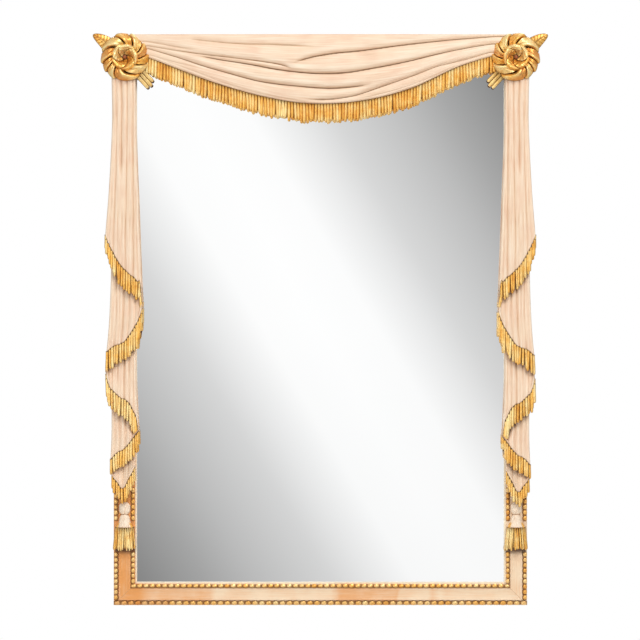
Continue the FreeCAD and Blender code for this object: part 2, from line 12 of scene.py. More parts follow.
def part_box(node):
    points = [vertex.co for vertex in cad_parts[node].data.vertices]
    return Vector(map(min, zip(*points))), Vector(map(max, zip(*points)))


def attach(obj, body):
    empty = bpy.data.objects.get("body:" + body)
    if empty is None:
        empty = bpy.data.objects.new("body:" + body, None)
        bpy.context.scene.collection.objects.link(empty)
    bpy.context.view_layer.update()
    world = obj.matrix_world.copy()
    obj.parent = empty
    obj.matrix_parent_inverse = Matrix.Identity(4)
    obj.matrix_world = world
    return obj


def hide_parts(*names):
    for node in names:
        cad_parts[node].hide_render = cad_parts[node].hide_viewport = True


bl_info = {
    "name": "Carved Drapery Mirror",
    "version": (1, 0, 0),
    "blender": (4, 5, 0),
    "location": "View3D > Sidebar > Mirror",
    "description": "Dresses a mirror frame with carved drapery, fringe, rosettes, tassels and finishes",
    "category": "Add Mesh",
}

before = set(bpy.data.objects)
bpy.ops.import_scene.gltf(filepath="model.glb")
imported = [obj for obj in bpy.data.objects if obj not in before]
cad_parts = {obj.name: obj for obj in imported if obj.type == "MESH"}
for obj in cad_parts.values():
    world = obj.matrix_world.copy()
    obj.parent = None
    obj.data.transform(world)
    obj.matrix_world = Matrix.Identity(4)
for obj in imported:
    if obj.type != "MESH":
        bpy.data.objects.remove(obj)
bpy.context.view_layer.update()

# The mesh code below works in millimetres, and its points become metres when a mesh is made.
MM = 0.001
BODY = "frame"
SIDES = {"left": -1, "right": 1}


def box_mm(name):
    """A frame node's lowest and highest corners in millimetres."""
    low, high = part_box(name)
    return np.array(low) / MM, np.array(high) / MM


# Places taken from the frame
swag_low, swag_high = box_mm("swag")
wreath_low, wreath_high = box_mm("right_rosette_wreath")
skirt_low, skirt_high = box_mm("right_tassel_skirt")
cap_low, cap_high = box_mm("right_tassel_cap")
knob_low, knob_high = box_mm("right_tassel_knob")
rail_low, rail_high = box_mm("bottom_rail")
glass_low, glass_high = box_mm("mirror_plate")
face_y = swag_high[1]
swag_top_z = swag_high[2]
rosette_x = (wreath_low[0] + wreath_high[0]) / 2
rosette_z = (wreath_low[2] + wreath_high[2]) / 2
tassel_x = (skirt_low[0] + skirt_high[0]) / 2
frame_half_width = rail_high[0]
frame_foot_z = rail_low[2]


def linear(code):
    """An sRGB hex colour as linear red, green and blue."""
    channels = [int(code[start:start + 2], 16) / 255 for start in (1, 3, 5)]
    return tuple(c / 12.92 if c <= 0.04045 else ((c + 0.055) / 1.055) ** 2.4 for c in channels)


def length(name, description, millimetres):
    """A property for a length, given in millimetres and kept in metres."""
    return bpy.props.FloatProperty(
        name=name, description=description, default=millimetres * MM, unit="LENGTH", precision=4
    )


def colour(name, description, code):
    """A property for a colour, given as an sRGB hex value."""
    return bpy.props.FloatVectorProperty(
        name=name, description=description, default=linear(code), subtype="COLOR", min=0, max=1
    )


class CarvingSizes(bpy.types.PropertyGroup):
    """Sizes of the carved work that a user would change."""

    swag_edge: length("Swag edge", "How far the swag's edges stand out from the frame", 15.0)
    swag_crown: length("Swag crown", "How much further the middle of the swag stands out", 15.0)
    drop_top: length("Drop top", "How far a drop stands out where a tier starts", 11.0)
    drop_hem: length("Drop hem", "How far a drop stands out at the hem of a tier", 22.0)
    swag_strand: length("Swag strand", "Width of one carved strand below the swag", 6.4)
    drop_strand: length("Drop strand", "Width of one carved strand on a drop", 5.8)
    tassel_strand: length("Tassel strand", "Width of one carved strand of a tassel", 4.0)
    wreath_height: length("Wreath height", "How far the wreath stands out from the frame", 29.0)
    rose_height: length("Rose height", "How far the rose stands out from the frame", 31.0)
    leaf_height: length("Leaf height", "How far the leaf stands out from the frame", 11.0)
    rail_outer_pitch: length("Rail outer bead pitch", "Bead spacing on the rail's outer row", 13.7)
    rail_inner_pitch: length("Rail inner bead pitch", "Bead spacing on the rail's inner row", 12.4)
    stile_outer_pitch: length("Stile outer bead pitch", "Bead spacing on the stiles' outer row", 11.2)
    stile_inner_pitch: length("Stile inner bead pitch", "Bead spacing on the stiles' inner row", 11.6)


class FinishColours(bpy.types.PropertyGroup):
    """Colours of the finishes that a user would change."""

    cream: colour("Cream", "Paint on the drapery", "#F2D5B7")
    # Pale cream: rubbed paint along the brush streaks, and a painted highlight on the crests of the folds and
    # on the tassels' knobs and caps.
    pale_cream_and_highlight: colour("Pale cream", "Rubbed paint on the crests of the folds", "#F9E4CB")
    cream_pink: colour("Pink cream", "Undercoat that shows through the drapery paint", "#ECC5A7")
    # Glaze: brown glaze dragged in streaks and drawn in the mitre hairlines, and painted shade in the hollows
    # of the drapery.
    glaze_and_shade: colour("Glaze", "Brown glaze left in the hollows", "#BE9268")
    # Deep glaze: glaze and painted shade in the sharpest creases and along the hems.
    deep_glaze_and_shade: colour("Deep glaze", "Glaze in the sharpest creases", "#5E3C1E")
    gold: colour("Gold", "Gold leaf", "#F2BA5C")
    # Pale gold: burnished leaf, and the painted highlight on the rose's upper petals and rising rims.
    gold_pale_and_highlight: colour("Pale gold", "Burnished gold leaf on the crests", "#FDE2A0")
    # Deep gold: toned leaf, and the painted shade on the rose's lower petals.
    gold_deep_and_shade: colour("Deep gold", "Toned gold leaf", "#D88E34")
    # Umber: dark toning and painted shade in the gilt hollows, and the painted shadow at the foot of each
    # tassel's skirt.
    umber_toning_and_shade: colour("Umber", "Dark toning in the gilt hollows", "#5C340C")
    bole: colour("Bole", "Red clay under worn gold leaf", "#C4713C")
    peach: colour("Peach", "Warm undercoat of the frame's band", "#E69D56")
    band_cream: colour("Band cream", "Paint on the frame's band", "#F4D9B8")


# Mesh helpers
def ease(share):
    """A share from 0 to 1 that starts and ends gently."""
    share = np.clip(share, 0, 1)
    return share * share * (3 - 2 * share)


def between(start, end, share):
    return start + (end - start) * share


def smooth_line(points, places):
    """A smooth line through (place, value) points, read at the given places."""
    knots = np.array(sorted(points), float)
    starts, values = knots.T
    slopes = np.gradient(values, starts)
    index = np.clip(np.searchsorted(starts, places) - 1, 0, len(starts) - 2)
    width = starts[index + 1] - starts[index]
    share = np.clip((places - starts[index]) / width, 0, 1)
    square, cube = share ** 2, share ** 3
    return (
        values[index] * (2 * cube - 3 * square + 1)
        + values[index + 1] * (3 * square - 2 * cube)
        + width * slopes[index] * (cube - 2 * square + share)
        + width * slopes[index + 1] * (cube - square)
    )


def groove(offset, depth, before, after):
    """A V cut with a soft roll on either side of its sharp floor."""
    width = np.where(offset < 0, before, after)
    return depth * np.exp(-np.abs(offset) / width)


def together(cuts, sharpness=2.5):
    """Several cuts in one surface: the deepest rules, and neighbours blend."""
    return np.sum(np.power(cuts, sharpness), axis=0) ** (1 / sharpness)


def local_relief(stand, reach):
    """How far each point of a carved grid stands above the mean of its neighbours."""
    mean = stand
    for axis, steps in enumerate(reach):
        around_axis = [(steps, steps) if axis == other else (0, 0) for other in range(2)]
        padded = np.pad(mean, around_axis, "edge")
        kernel = np.full(2 * steps + 1, 1 / (2 * steps + 1))
        mean = np.apply_along_axis(np.convolve, axis, padded, kernel, "valid")
    return stand - mean


def grid_faces(rows, columns, ring=False):
    """Quads between the points of a grid. A ring's last column joins its first."""
    count = columns if ring else columns - 1
    row, column = np.meshgrid(np.arange(rows - 1), np.arange(count), indexing="ij")
    beside = (column + 1) % columns
    corners = (
        row * columns + column,
        row * columns + beside,
        (row + 1) * columns + beside,
        (row + 1) * columns + column,
    )
    return np.stack(corners, -1).reshape(-1, 4).tolist()


def rim_order(rows, columns):
    """The points along the rim of a grid, in order."""
    index = np.arange(rows * columns).reshape(rows, columns)
    return np.concatenate([index[0, :-1], index[:-1, -1], index[-1, :0:-1], index[:0:-1, 0]])


def relief(front, back_y):
    """Closes a carved front, a grid of points, with side walls and a flat back."""
    rows, columns = front.shape[:2]
    rim = rim_order(rows, columns)
    points = front.reshape(-1, 3)
    behind = points[rim].copy()
    behind[:, 1] = back_y
    base = len(points) + np.arange(len(rim))
    walls = np.stack([rim, np.roll(rim, -1), np.roll(base, -1), base], -1).tolist()
    faces = grid_faces(rows, columns) + walls + [base[::-1].tolist()]
    return np.concatenate([points, behind]), faces, rim


def ring_relief(front, back_y):
    """Closes a carved ring, whose rows run from its inner to its outer edge."""
    rows, columns = front.shape[:2]
    points = front.reshape(-1, 3)
    inner, outer = points[:columns].copy(), points[-columns:].copy()
    inner[:, 1] = back_y
    outer[:, 1] = back_y
    closed = np.concatenate([inner, points, outer])
    faces = grid_faces(rows + 2, columns, ring=True)
    first = np.arange(columns)
    last = first + (rows + 1) * columns
    faces += np.stack([last, np.roll(last, -1), np.roll(first, -1), first], -1).tolist()
    return closed, faces


def relief_sheet(front, thickness):
    """A sheet of even thickness behind a grid of points."""
    rows, columns = front.shape[:2]
    behind = front + np.array([0, thickness, 0])
    rim = rim_order(rows, columns)
    shift = rows * columns
    faces = grid_faces(rows, columns)
    faces += [[corner + shift for corner in face[::-1]] for face in grid_faces(rows, columns)]
    faces += np.stack([rim, np.roll(rim, -1), np.roll(rim, -1) + shift, rim + shift], -1).tolist()
    return np.concatenate([front.reshape(-1, 3), behind.reshape(-1, 3)]), faces


def make_mesh(name, points, faces, fields=None, grain=None, sharp_degrees=38):
    """A mesh with outward faces, named point fields and, if given, the grain's direction as UVs."""
    mesh = bpy.data.meshes.new(name)
    mesh.from_pydata((np.asarray(points) * MM).tolist(), [], faces)
    for field, values in (fields or {}).items():
        mesh.attributes.new(field, "FLOAT", "POINT").data.foreach_set("value", np.float32(values))
    if grain is not None:
        corner_points = np.zeros(len(mesh.loops), np.int32)
        mesh.loops.foreach_get("vertex_index", corner_points)
        layer = mesh.uv_layers.new(name="Grain")
        layer.uv.foreach_set("vector", np.float32(grain[corner_points] * MM).ravel())
    shell = bmesh.new()
    shell.from_mesh(mesh)
    bmesh.ops.recalc_face_normals(shell, faces=shell.faces)
    shell.to_mesh(mesh)
    shell.free()
    mesh.shade_smooth()
    mesh.set_sharp_from_angle(angle=math.radians(sharp_degrees))
    return mesh


def new_object(name, mesh, coat=None):
    made = bpy.data.objects.new(name, mesh)
    bpy.context.scene.collection.objects.link(made)
    if coat:
        mesh.materials.clear()
        mesh.materials.append(coat)
    return made


def joined(name, pieces):
    """Makes one object of several, with their fields kept."""
    first = pieces[0]
    if len(pieces) > 1:
        with bpy.context.temp_override(
            active_object=first, object=first, selected_objects=pieces, selected_editable_objects=pieces
        ):
            bpy.ops.object.join()
    first.name = name
    first.data.name = name
    return first


def dress(piece, slot, *nodes):
    """Seats a finished piece on the frame in place of the nodes that it stands for."""
    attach(piece, BODY)
    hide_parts(*nodes)
    return piece


def fill(tree, node, inputs):
    """Sets or links a node's inputs. A node among the values lends its first output in use."""
    for name, value in inputs.items():
        if isinstance(value, bpy.types.Node):
            value = next(socket for socket in value.outputs if socket.enabled)
        if isinstance(value, bpy.types.NodeSocket):
            tree.links.new(value, node.inputs[name])
        else:
            node.inputs[name].default_value = value


def add(tree, kind, inputs=None, **settings):
    """Adds a node to a tree, with its settings, and sets or links its inputs."""
    made = tree.nodes.new(kind)
    for name, value in settings.items():
        setattr(made, name, value)
    fill(tree, made, inputs or {})
    return made


# Copies of one small form on a set of points
def copies_tree():
    """Stands a copy of a template on every point, with its own size, turn, lean and tone."""
    tree = bpy.data.node_groups.new("Carved Copies", "GeometryNodeTree")
    made = {}
    sockets = (
        ("Points", "NodeSocketGeometry"),
        ("Template", "NodeSocketObject"),
        ("Finish", "NodeSocketMaterial"),
        ("Size Scatter", "NodeSocketFloat"),
        ("Lean", "NodeSocketFloat"),
        ("Tone Patch", "NodeSocketFloat"),
        ("Seed", "NodeSocketInt"),
    )
    for name, kind in sockets:
        made[name] = tree.interface.new_socket(name, in_out="INPUT", socket_type=kind)
    tree.interface.new_socket("Copies", in_out="OUTPUT", socket_type="NodeSocketGeometry")
    given = add(tree, "NodeGroupInput").outputs
    size = add(tree, "GeometryNodeInputNamedAttribute", {"Name": "size"}, data_type="FLOAT_VECTOR")
    turn = add(tree, "GeometryNodeInputNamedAttribute", {"Name": "turn"}, data_type="FLOAT_VECTOR")
    template = add(tree, "GeometryNodeObjectInfo", {"Object": given["Template"]})
    spread = add(tree, "FunctionNodeRandomValue", {2: -1.0, 3: 1.0, "Seed": given["Seed"]}, data_type="FLOAT")
    scatter = add(tree, "ShaderNodeMath", {0: spread, 1: given["Size Scatter"], 2: 1.0},
                  operation="MULTIPLY_ADD")
    uneven = add(tree, "ShaderNodeVectorMath", {0: size, "Scale": scatter}, operation="SCALE")
    next_seed = add(tree, "ShaderNodeMath", {0: given["Seed"], 1: 1.0}, operation="ADD")
    sway = add(tree, "FunctionNodeRandomValue", {0: (-1, -1, -1), "Seed": next_seed},
               data_type="FLOAT_VECTOR")
    leaning = add(tree, "ShaderNodeVectorMath", {0: sway, "Scale": given["Lean"]}, operation="SCALE")
    turned = add(tree, "ShaderNodeVectorMath", {0: turn, 1: leaning}, operation="ADD")
    patch_scale = add(tree, "ShaderNodeMath", {0: 1.0, 1: given["Tone Patch"]}, operation="DIVIDE")
    patch = add(tree, "ShaderNodeTexNoise", {"Scale": patch_scale, "Detail": 1.0})
    own_seed = add(tree, "ShaderNodeMath", {0: given["Seed"], 1: 2.0}, operation="ADD")
    own = add(tree, "FunctionNodeRandomValue", {2: 0.2, 3: 0.8, "Seed": own_seed}, data_type="FLOAT")
    varied = add(tree, "ShaderNodeMapRange", {0: patch, 1: 0.35, 2: 0.65, 3: 0.1, 4: 0.9})
    tone = add(tree, "ShaderNodeMix", {0: 0.55, 2: varied, 3: own}, data_type="FLOAT")
    toned = add(tree, "GeometryNodeStoreNamedAttribute",
                {"Geometry": given["Points"], "Name": "tone", "Value": tone},
                data_type="FLOAT", domain="POINT")
    placed = add(tree, "GeometryNodeInstanceOnPoints", {
        "Points": toned,
        "Instance": template.outputs["Geometry"],
        "Rotation": turned,
        "Scale": uneven,
    })
    solid = add(tree, "GeometryNodeRealizeInstances", {"Geometry": placed})
    finished = add(tree, "GeometryNodeSetMaterial", {"Geometry": solid, "Material": given["Finish"]})
    add(tree, "NodeGroupOutput", {"Copies": finished})
    return tree, {name: socket.identifier for name, socket in made.items()}


def copies(
    name, template, places, sizes, turns, coat, scatter=0.0, lean=0.0, patch=60.0, seed=1, wear=None
):
    """A plain mesh object of copies of a template mesh at places in millimetres."""
    tree, identifiers = copies_tree()
    points = bpy.data.meshes.new(name)
    points.from_pydata((np.asarray(places) * MM).tolist(), [], [])
    for field, values in (("size", sizes), ("turn", turns)):
        spread = np.broadcast_to(np.float32(values), (len(places), 3))
        points.attributes.new(field, "FLOAT_VECTOR", "POINT").data.foreach_set("vector", spread.ravel())
    if wear is not None:
        points.attributes.new("wear", "FLOAT", "POINT").data.foreach_set("value", np.float32(wear))
    holder = new_object(name + "_points", points)
    pattern = new_object(name + "_template", template)
    setting = holder.modifiers.new("Copies", "NODES")
    setting.node_group = tree
    values = {
        "Template": pattern,
        "Finish": coat,
        "Size Scatter": scatter,
        "Lean": lean,
        "Tone Patch": patch * MM,
        "Seed": seed,
    }
    for label, value in values.items():
        setting[identifiers[label]] = value
    graph = bpy.context.evaluated_depsgraph_get()
    mesh = bpy.data.meshes.new_from_object(holder.evaluated_get(graph))
    for field in ("size", "turn"):
        if field in mesh.attributes:
            mesh.attributes.remove(mesh.attributes[field])
    holder.modifiers.remove(setting)
    bpy.data.objects.remove(holder)
    bpy.data.objects.remove(pattern)
    bpy.data.node_groups.remove(tree)
    return new_object(name, mesh, coat)


# Finishes
def new_material(name):
    material = bpy.data.materials.new(name)
    material.use_nodes = True
    tree = material.node_tree
    tree.nodes.clear()
    shader = add(tree, "ShaderNodeBsdfPrincipled")
    add(tree, "ShaderNodeOutputMaterial", {"Surface": shader})
    return material, tree, shader


def rgba(value):
    return (*value[:3], 1.0)


def drapery_paint(name, hues, follows_grain):
    """Oil-painted gesso on carved wood: brushed streaks along the folds, pale rubbed streaks with a painted
    highlight on the crests, and a brown glaze wiped out of everything but the hollows, where it also stands
    for painted shade."""
    streak_long, streak_wide, patch_size, pit_size = 70.0, 3.0, 46.0, 1.1
    material, tree, shader = new_material(name)
    if follows_grain:
        coordinates = add(tree, "ShaderNodeUVMap", uv_map="Grain").outputs[0]
        stretch = (1 / (streak_long * MM), 1 / (streak_wide * MM), 1.0)
    else:
        coordinates = add(tree, "ShaderNodeTexCoord").outputs["Object"]
        stretch = (1 / (streak_wide * MM), 1 / (streak_wide * MM), 1 / (streak_long * MM))
    place = add(tree, "ShaderNodeTexCoord").outputs["Object"]
    laid = add(tree, "ShaderNodeMapping", {"Vector": coordinates, "Scale": stretch})
    streaks = add(tree, "ShaderNodeTexNoise", {"Vector": laid, "Scale": 1.0, "Detail": 3.0})
    patches = add(tree, "ShaderNodeTexNoise",
                  {"Vector": place, "Scale": 1 / (patch_size * MM), "Detail": 3.0})
    pits = add(tree, "ShaderNodeTexNoise", {"Vector": place, "Scale": 1 / (pit_size * MM), "Detail": 2.0})
    # Glaze and painted shade in the hollows, a field that every carved piece carries.
    shade_and_toning = add(tree, "ShaderNodeAttribute", attribute_name="shade_and_toning").outputs["Fac"]
    painted_highlight = add(tree, "ShaderNodeAttribute", attribute_name="painted_highlight").outputs["Fac"]
    pinkness = add(tree, "ShaderNodeMapRange", {0: patches, 1: 0.38, 2: 0.66, 3: 0.0, 4: 0.75})
    body = add(tree, "ShaderNodeMix", {0: pinkness, 6: rgba(hues.cream), 7: rgba(hues.cream_pink)},
               data_type="RGBA")
    brushed = add(tree, "ShaderNodeMapRange", {0: streaks, 1: 0.48, 2: 0.68, 3: 0.0, 4: 0.75})
    # Pale rubbed streaks, plus a painted highlight on the crests of the folds.
    rubbed = add(tree, "ShaderNodeMath", {0: brushed, 1: painted_highlight}, operation="ADD", use_clamp=True)
    pale = add(tree, "ShaderNodeMix", {0: rubbed, 6: body, 7: rgba(hues.pale_cream_and_highlight)}, data_type="RGBA")
    dragged = add(tree, "ShaderNodeMapRange", {0: streaks, 1: 0.46, 2: 0.27, 3: 0.0, 4: 0.36})
    # Glaze dragged in streaks, and glaze with painted shade in the hollows.
    wiped = add(tree, "ShaderNodeMath", {0: shade_and_toning, 1: dragged}, operation="ADD")
    soft = add(tree, "ShaderNodeMapRange", {0: wiped, 1: 0.12, 2: 1.0, 3: 0.0, 4: 0.85})
    glazed_and_shaded = add(tree, "ShaderNodeMix", {0: soft, 6: pale, 7: rgba(hues.glaze_and_shade)}, data_type="RGBA")
    # The darkest glaze, with painted shade, in the sharpest creases and along the hems.
    sharp = add(tree, "ShaderNodeMapRange", {0: shade_and_toning, 1: 0.55, 2: 1.0, 3: 0.0, 4: 0.9})
    shaded = add(tree, "ShaderNodeMix", {0: sharp, 6: glazed_and_shaded, 7: rgba(hues.deep_glaze_and_shade)}, data_type="RGBA")
    gilded = add(tree, "ShaderNodeAttribute", attribute_name="gilded").outputs["Fac"]
    tipped = add(tree, "ShaderNodeMix", {0: gilded, 6: shaded, 7: rgba(hues.gold)}, data_type="RGBA")
    brush_marks = add(tree, "ShaderNodeBump", {"Strength": 0.25, "Distance": 0.5 * MM, "Height": streaks})
    gesso = add(tree, "ShaderNodeBump", {
        "Strength": 0.18, "Distance": 0.25 * MM, "Height": pits, "Normal": brush_marks
    })
    worn = add(tree, "ShaderNodeMapRange", {0: streaks, 1: 0.3, 2: 0.7, 3: 0.62, 4: 0.42})
    fill(tree, shader, {
        "Base Color": tipped, "Roughness": worn, "Normal": gesso, "Metallic": gilded, "IOR": 1.46
    })
    return material


def gold_leaf(name, hues):
    """Gold leaf laid on red bole over carved wood: warm metal, burnished pale on the crests, rubbed through
    to the clay here and there, with dark toning and painted shade in the hollows. On the rose, pale and deep
    gold also carry painted light, lighter on the upper petals."""
    tone_size, wear_size, grain_size = 17.0, 7.0, 1.6
    material, tree, shader = new_material(name)
    place = add(tree, "ShaderNodeTexCoord").outputs["Object"]
    tones = add(tree, "ShaderNodeTexNoise", {"Vector": place, "Scale": 1 / (tone_size * MM), "Detail": 4.0})
    wear = add(tree, "ShaderNodeTexNoise", {"Vector": place, "Scale": 1 / (wear_size * MM), "Detail": 4.0})
    grain = add(tree, "ShaderNodeTexNoise", {"Vector": place, "Scale": 1 / (grain_size * MM), "Detail": 2.0})
    own = add(tree, "ShaderNodeAttribute", attribute_name="tone").outputs["Fac"]
    shade_and_toning = add(tree, "ShaderNodeAttribute", attribute_name="shade_and_toning").outputs["Fac"]
    mixed = add(tree, "ShaderNodeMath", {0: tones, 1: own}, operation="ADD")
    share = add(tree, "ShaderNodeMapRange", {0: mixed, 1: 0.45, 2: 1.35})
    # Deep to pale gold by tone, which on the rose is painted light: lighter on the upper petals and rising
    # rims.
    lively = add(tree, "ShaderNodeValToRGB", {"Fac": share})
    ramp = lively.color_ramp.elements
    ramp[0].color = rgba(hues.gold_deep_and_shade)
    ramp[1].color = rgba(hues.gold_pale_and_highlight)
    ramp.new(0.42).color = rgba(hues.gold)
    rubbed = add(tree, "ShaderNodeMapRange", {0: wear, 1: 0.6, 2: 0.74, 3: 0.0, 4: 0.55})
    handled = add(tree, "ShaderNodeAttribute", attribute_name="wear").outputs["Fac"]
    bare = add(tree, "ShaderNodeMath", {0: rubbed, 1: handled}, operation="MAXIMUM")
    worn = add(tree, "ShaderNodeMix", {0: bare, 6: lively, 7: rgba(hues.bole)}, data_type="RGBA")
    # Dark toning with painted shade in the hollows.
    toned_and_shaded = add(tree, "ShaderNodeMapRange", {0: shade_and_toning, 1: 0.2, 2: 0.95, 3: 0.0, 4: 0.95})
    toned = add(tree, "ShaderNodeMix", {0: toned_and_shaded, 6: worn, 7: rgba(hues.umber_toning_and_shade)}, data_type="RGBA")
    metal = add(tree, "ShaderNodeMapRange", {0: toned_and_shaded, 1: 0.0, 2: 1.0, 3: 0.68, 4: 0.2})
    dull = add(tree, "ShaderNodeMapRange", {0: grain, 1: 0.3, 2: 0.7, 3: 0.3, 4: 0.46})
    leaf_marks = add(tree, "ShaderNodeBump", {"Strength": 0.4, "Distance": 0.5 * MM, "Height": grain})
    fill(tree, shader, {"Base Color": toned, "Metallic": metal, "Roughness": dull, "Normal": leaf_marks})
    return material


def drawn_along(axis, wide, long):
    """Scales that stretch a pattern of marks along one axis, from a mark's width and length."""
    across, lengthways = 1 / (wide * MM), 1 / (long * MM)
    return {"X": (lengthways, across, across), "Z": (across, across, lengthways)}[axis]


def worn_patches(tree, x, clouds):
    """How much of the undercoat shows from left to right, in patches with wandering edges."""
    # Shares of the frame's width, each with how much of the undercoat shows there
    patch_stops = (
        (0.0, 1.0), (0.06, 1.0), (0.09, 0.58), (0.23, 0.56), (0.244, 0.12), (0.525, 0.1), (0.55, 0.6),
        (0.688, 0.58), (0.696, 0.1), (0.755, 0.1), (0.765, 0.55), (0.785, 0.08), (1.0, 0.08),
    )
    half, wander = frame_half_width * MM, 0.03
    moved = add(tree, "ShaderNodeMath", {0: clouds, 1: wander, 2: x}, operation="MULTIPLY_ADD")
    across = add(tree, "ShaderNodeMapRange", {0: moved, 1: wander / 2 - half, 2: wander / 2 + half})
    patches = add(tree, "ShaderNodeValToRGB", {"Fac": across})
    stops = patches.color_ramp.elements
    for place_share, warmth in patch_stops[1:-1]:
        stops.new(place_share).color = (warmth, warmth, warmth, 1.0)
    for stop, (_, warmth) in ((stops[0], patch_stops[0]), (stops[len(stops) - 1], patch_stops[-1])):
        stop.color = (warmth, warmth, warmth, 1.0)
    return patches


def mitre_line(tree, inset, z):
    """The hairline where the rail and a stile meet, as far in from the side as it is above the foot."""
    height = add(tree, "ShaderNodeMath", {0: z, 1: frame_foot_z * MM}, operation="SUBTRACT")
    off_mitre = add(tree, "ShaderNodeMath", {0: inset, 1: height}, operation="SUBTRACT")
    off_line = add(tree, "ShaderNodeMath", {0: off_mitre}, operation="ABSOLUTE")
    return add(tree, "ShaderNodeMapRange", {0: off_line, 1: 0.4 * MM, 2: 1.3 * MM, 3: 0.55, 4: 0.0})


def painted_skirt_shadow(tree, inset, z):
    """The painted shadow on the band at the foot of a tassel's skirt."""
    clean, dark, fading, gone = [(skirt_low[2] + above_foot) * MM for above_foot in (-9.0, -1.0, 6.0, 14.0)]
    rising = add(tree, "ShaderNodeMapRange", {0: z, 1: clean, 2: dark, 3: 0.0, 4: 0.9})
    ending = add(tree, "ShaderNodeMapRange", {0: z, 1: fading, 2: gone, 3: 1.0, 4: 0.0})
    inside = add(tree, "ShaderNodeMapRange", {0: inset, 1: 1.0 * MM, 2: 4.0 * MM})
    beneath = add(tree, "ShaderNodeMath", {0: rising, 1: ending}, operation="MULTIPLY")
    return add(tree, "ShaderNodeMath", {0: beneath, 1: inside}, operation="MULTIPLY")


def band_paint(name, hues, along):
    """Paint on the moulded band: cream brushed over a peach undercoat that shows on the left stile and in
    patches of the rail, a hairline at each mitre, a painted shadow at the foot of each tassel's skirt, and
    bare wood on the back, with its grain along the X or the Z axis."""
    patch_size, brush_long, brush_wide = 38.0, 70.0, 2.2
    material, tree, shader = new_material(name)
    place = add(tree, "ShaderNodeTexCoord").outputs["Object"]
    parts = add(tree, "ShaderNodeSeparateXYZ", {0: place}).outputs
    clouds = add(tree, "ShaderNodeTexNoise", {"Vector": place, "Scale": 1 / (patch_size * MM), "Detail": 4.0})
    stretch = drawn_along(along, brush_wide, brush_long)
    brushed = add(tree, "ShaderNodeMapping", {"Vector": place, "Scale": stretch})
    strokes = add(tree, "ShaderNodeTexNoise", {"Vector": brushed, "Scale": 1.0, "Detail": 3.0})
    patches = worn_patches(tree, parts["X"], clouds)
    uneven = add(tree, "ShaderNodeMapRange", {0: clouds, 1: 0.35, 2: 0.65, 3: -0.14, 4: 0.14})
    streaky = add(tree, "ShaderNodeMapRange", {0: strokes, 1: 0.3, 2: 0.7, 3: -0.16, 4: 0.16})
    cloudy = add(tree, "ShaderNodeMath", {0: patches, 1: uneven}, operation="ADD")
    warm = add(tree, "ShaderNodeMath", {0: cloudy, 1: streaky}, operation="ADD", use_clamp=True)
    paint = add(tree, "ShaderNodeMix", {0: warm, 6: rgba(hues.band_cream), 7: rgba(hues.peach)},
                data_type="RGBA")
    off_middle = add(tree, "ShaderNodeMath", {0: parts["X"]}, operation="ABSOLUTE")
    inset = add(tree, "ShaderNodeMath", {0: frame_half_width * MM, 1: off_middle}, operation="SUBTRACT")
    joint = mitre_line(tree, inset, parts["Z"])
    lined = add(tree, "ShaderNodeMix", {0: joint, 6: paint, 7: rgba(hues.glaze_and_shade)}, data_type="RGBA")
    # Painted shadow on the band at the foot of each tassel's skirt.
    skirt_shadow = painted_skirt_shadow(tree, inset, parts["Z"])
    toned = add(tree, "ShaderNodeMix", {0: skirt_shadow, 6: lined, 7: rgba(hues.umber_toning_and_shade)}, data_type="RGBA")
    behind = add(tree, "ShaderNodeMapRange", {0: parts["Y"], 1: -0.6 * MM, 2: -0.2 * MM})
    dark_wood, light_wood = rgba(linear("#8F6A45")), rgba(linear("#C49A6C"))
    fibres = add(tree, "ShaderNodeMix", {0: strokes, 6: dark_wood, 7: light_wood}, data_type="RGBA")
    whole = add(tree, "ShaderNodeMix", {0: behind, 6: toned, 7: fibres}, data_type="RGBA")
    marks = add(tree, "ShaderNodeBump", {"Strength": 0.3, "Distance": 0.4 * MM, "Height": strokes})
    fill(tree, shader, {"Base Color": whole, "Normal": marks, "Roughness": 0.5})
    return material


def silvered_glass(name):
    """Float glass silvered on its back: a clean mirror with the faintest cool cast and haze."""
    haze_size = 240.0
    material, tree, shader = new_material(name)
    place = add(tree, "ShaderNodeTexCoord").outputs["Object"]
    haze = add(tree, "ShaderNodeTexNoise", {"Vector": place, "Scale": 1 / (haze_size * MM)})
    silver = add(tree, "ShaderNodeMix", {0: haze, 6: rgba(linear("#FDFEFE")),
                                         7: rgba(linear("#FFFFFF"))}, data_type="RGBA")
    fill(tree, shader, {"Base Color": silver, "Metallic": 1.0, "Roughness": 0.0})
    return material


def grained(name, dark, light, grain_wide, grain_long, roughness, metallic=0.0):
    """A material drawn in one direction, such as planed wood or brushed plate: fine lines along the
    grain, two close tones and a shallow relief. The plate's lines are drawn coarse enough to show."""
    material, tree, shader = new_material(name)
    place = add(tree, "ShaderNodeTexCoord").outputs["Object"]
    stretch = drawn_along("Z", grain_wide, grain_long)
    drawn = add(tree, "ShaderNodeMapping", {"Vector": place, "Scale": stretch})
    lines = add(tree, "ShaderNodeTexNoise", {"Vector": drawn, "Scale": 1.0, "Detail": 4.0})
    tone = add(tree, "ShaderNodeMapRange", {0: lines, 1: 0.32, 2: 0.68})
    shade = add(tree, "ShaderNodeMix", {0: tone, 6: rgba(linear(dark)), 7: rgba(linear(light))},
                data_type="RGBA")
    marks = add(tree, "ShaderNodeBump", {"Strength": 0.25, "Distance": 0.3 * MM, "Height": lines})
    fill(tree, shader, {"Base Color": shade, "Normal": marks, "Roughness": roughness, "Metallic": metallic})
    return material


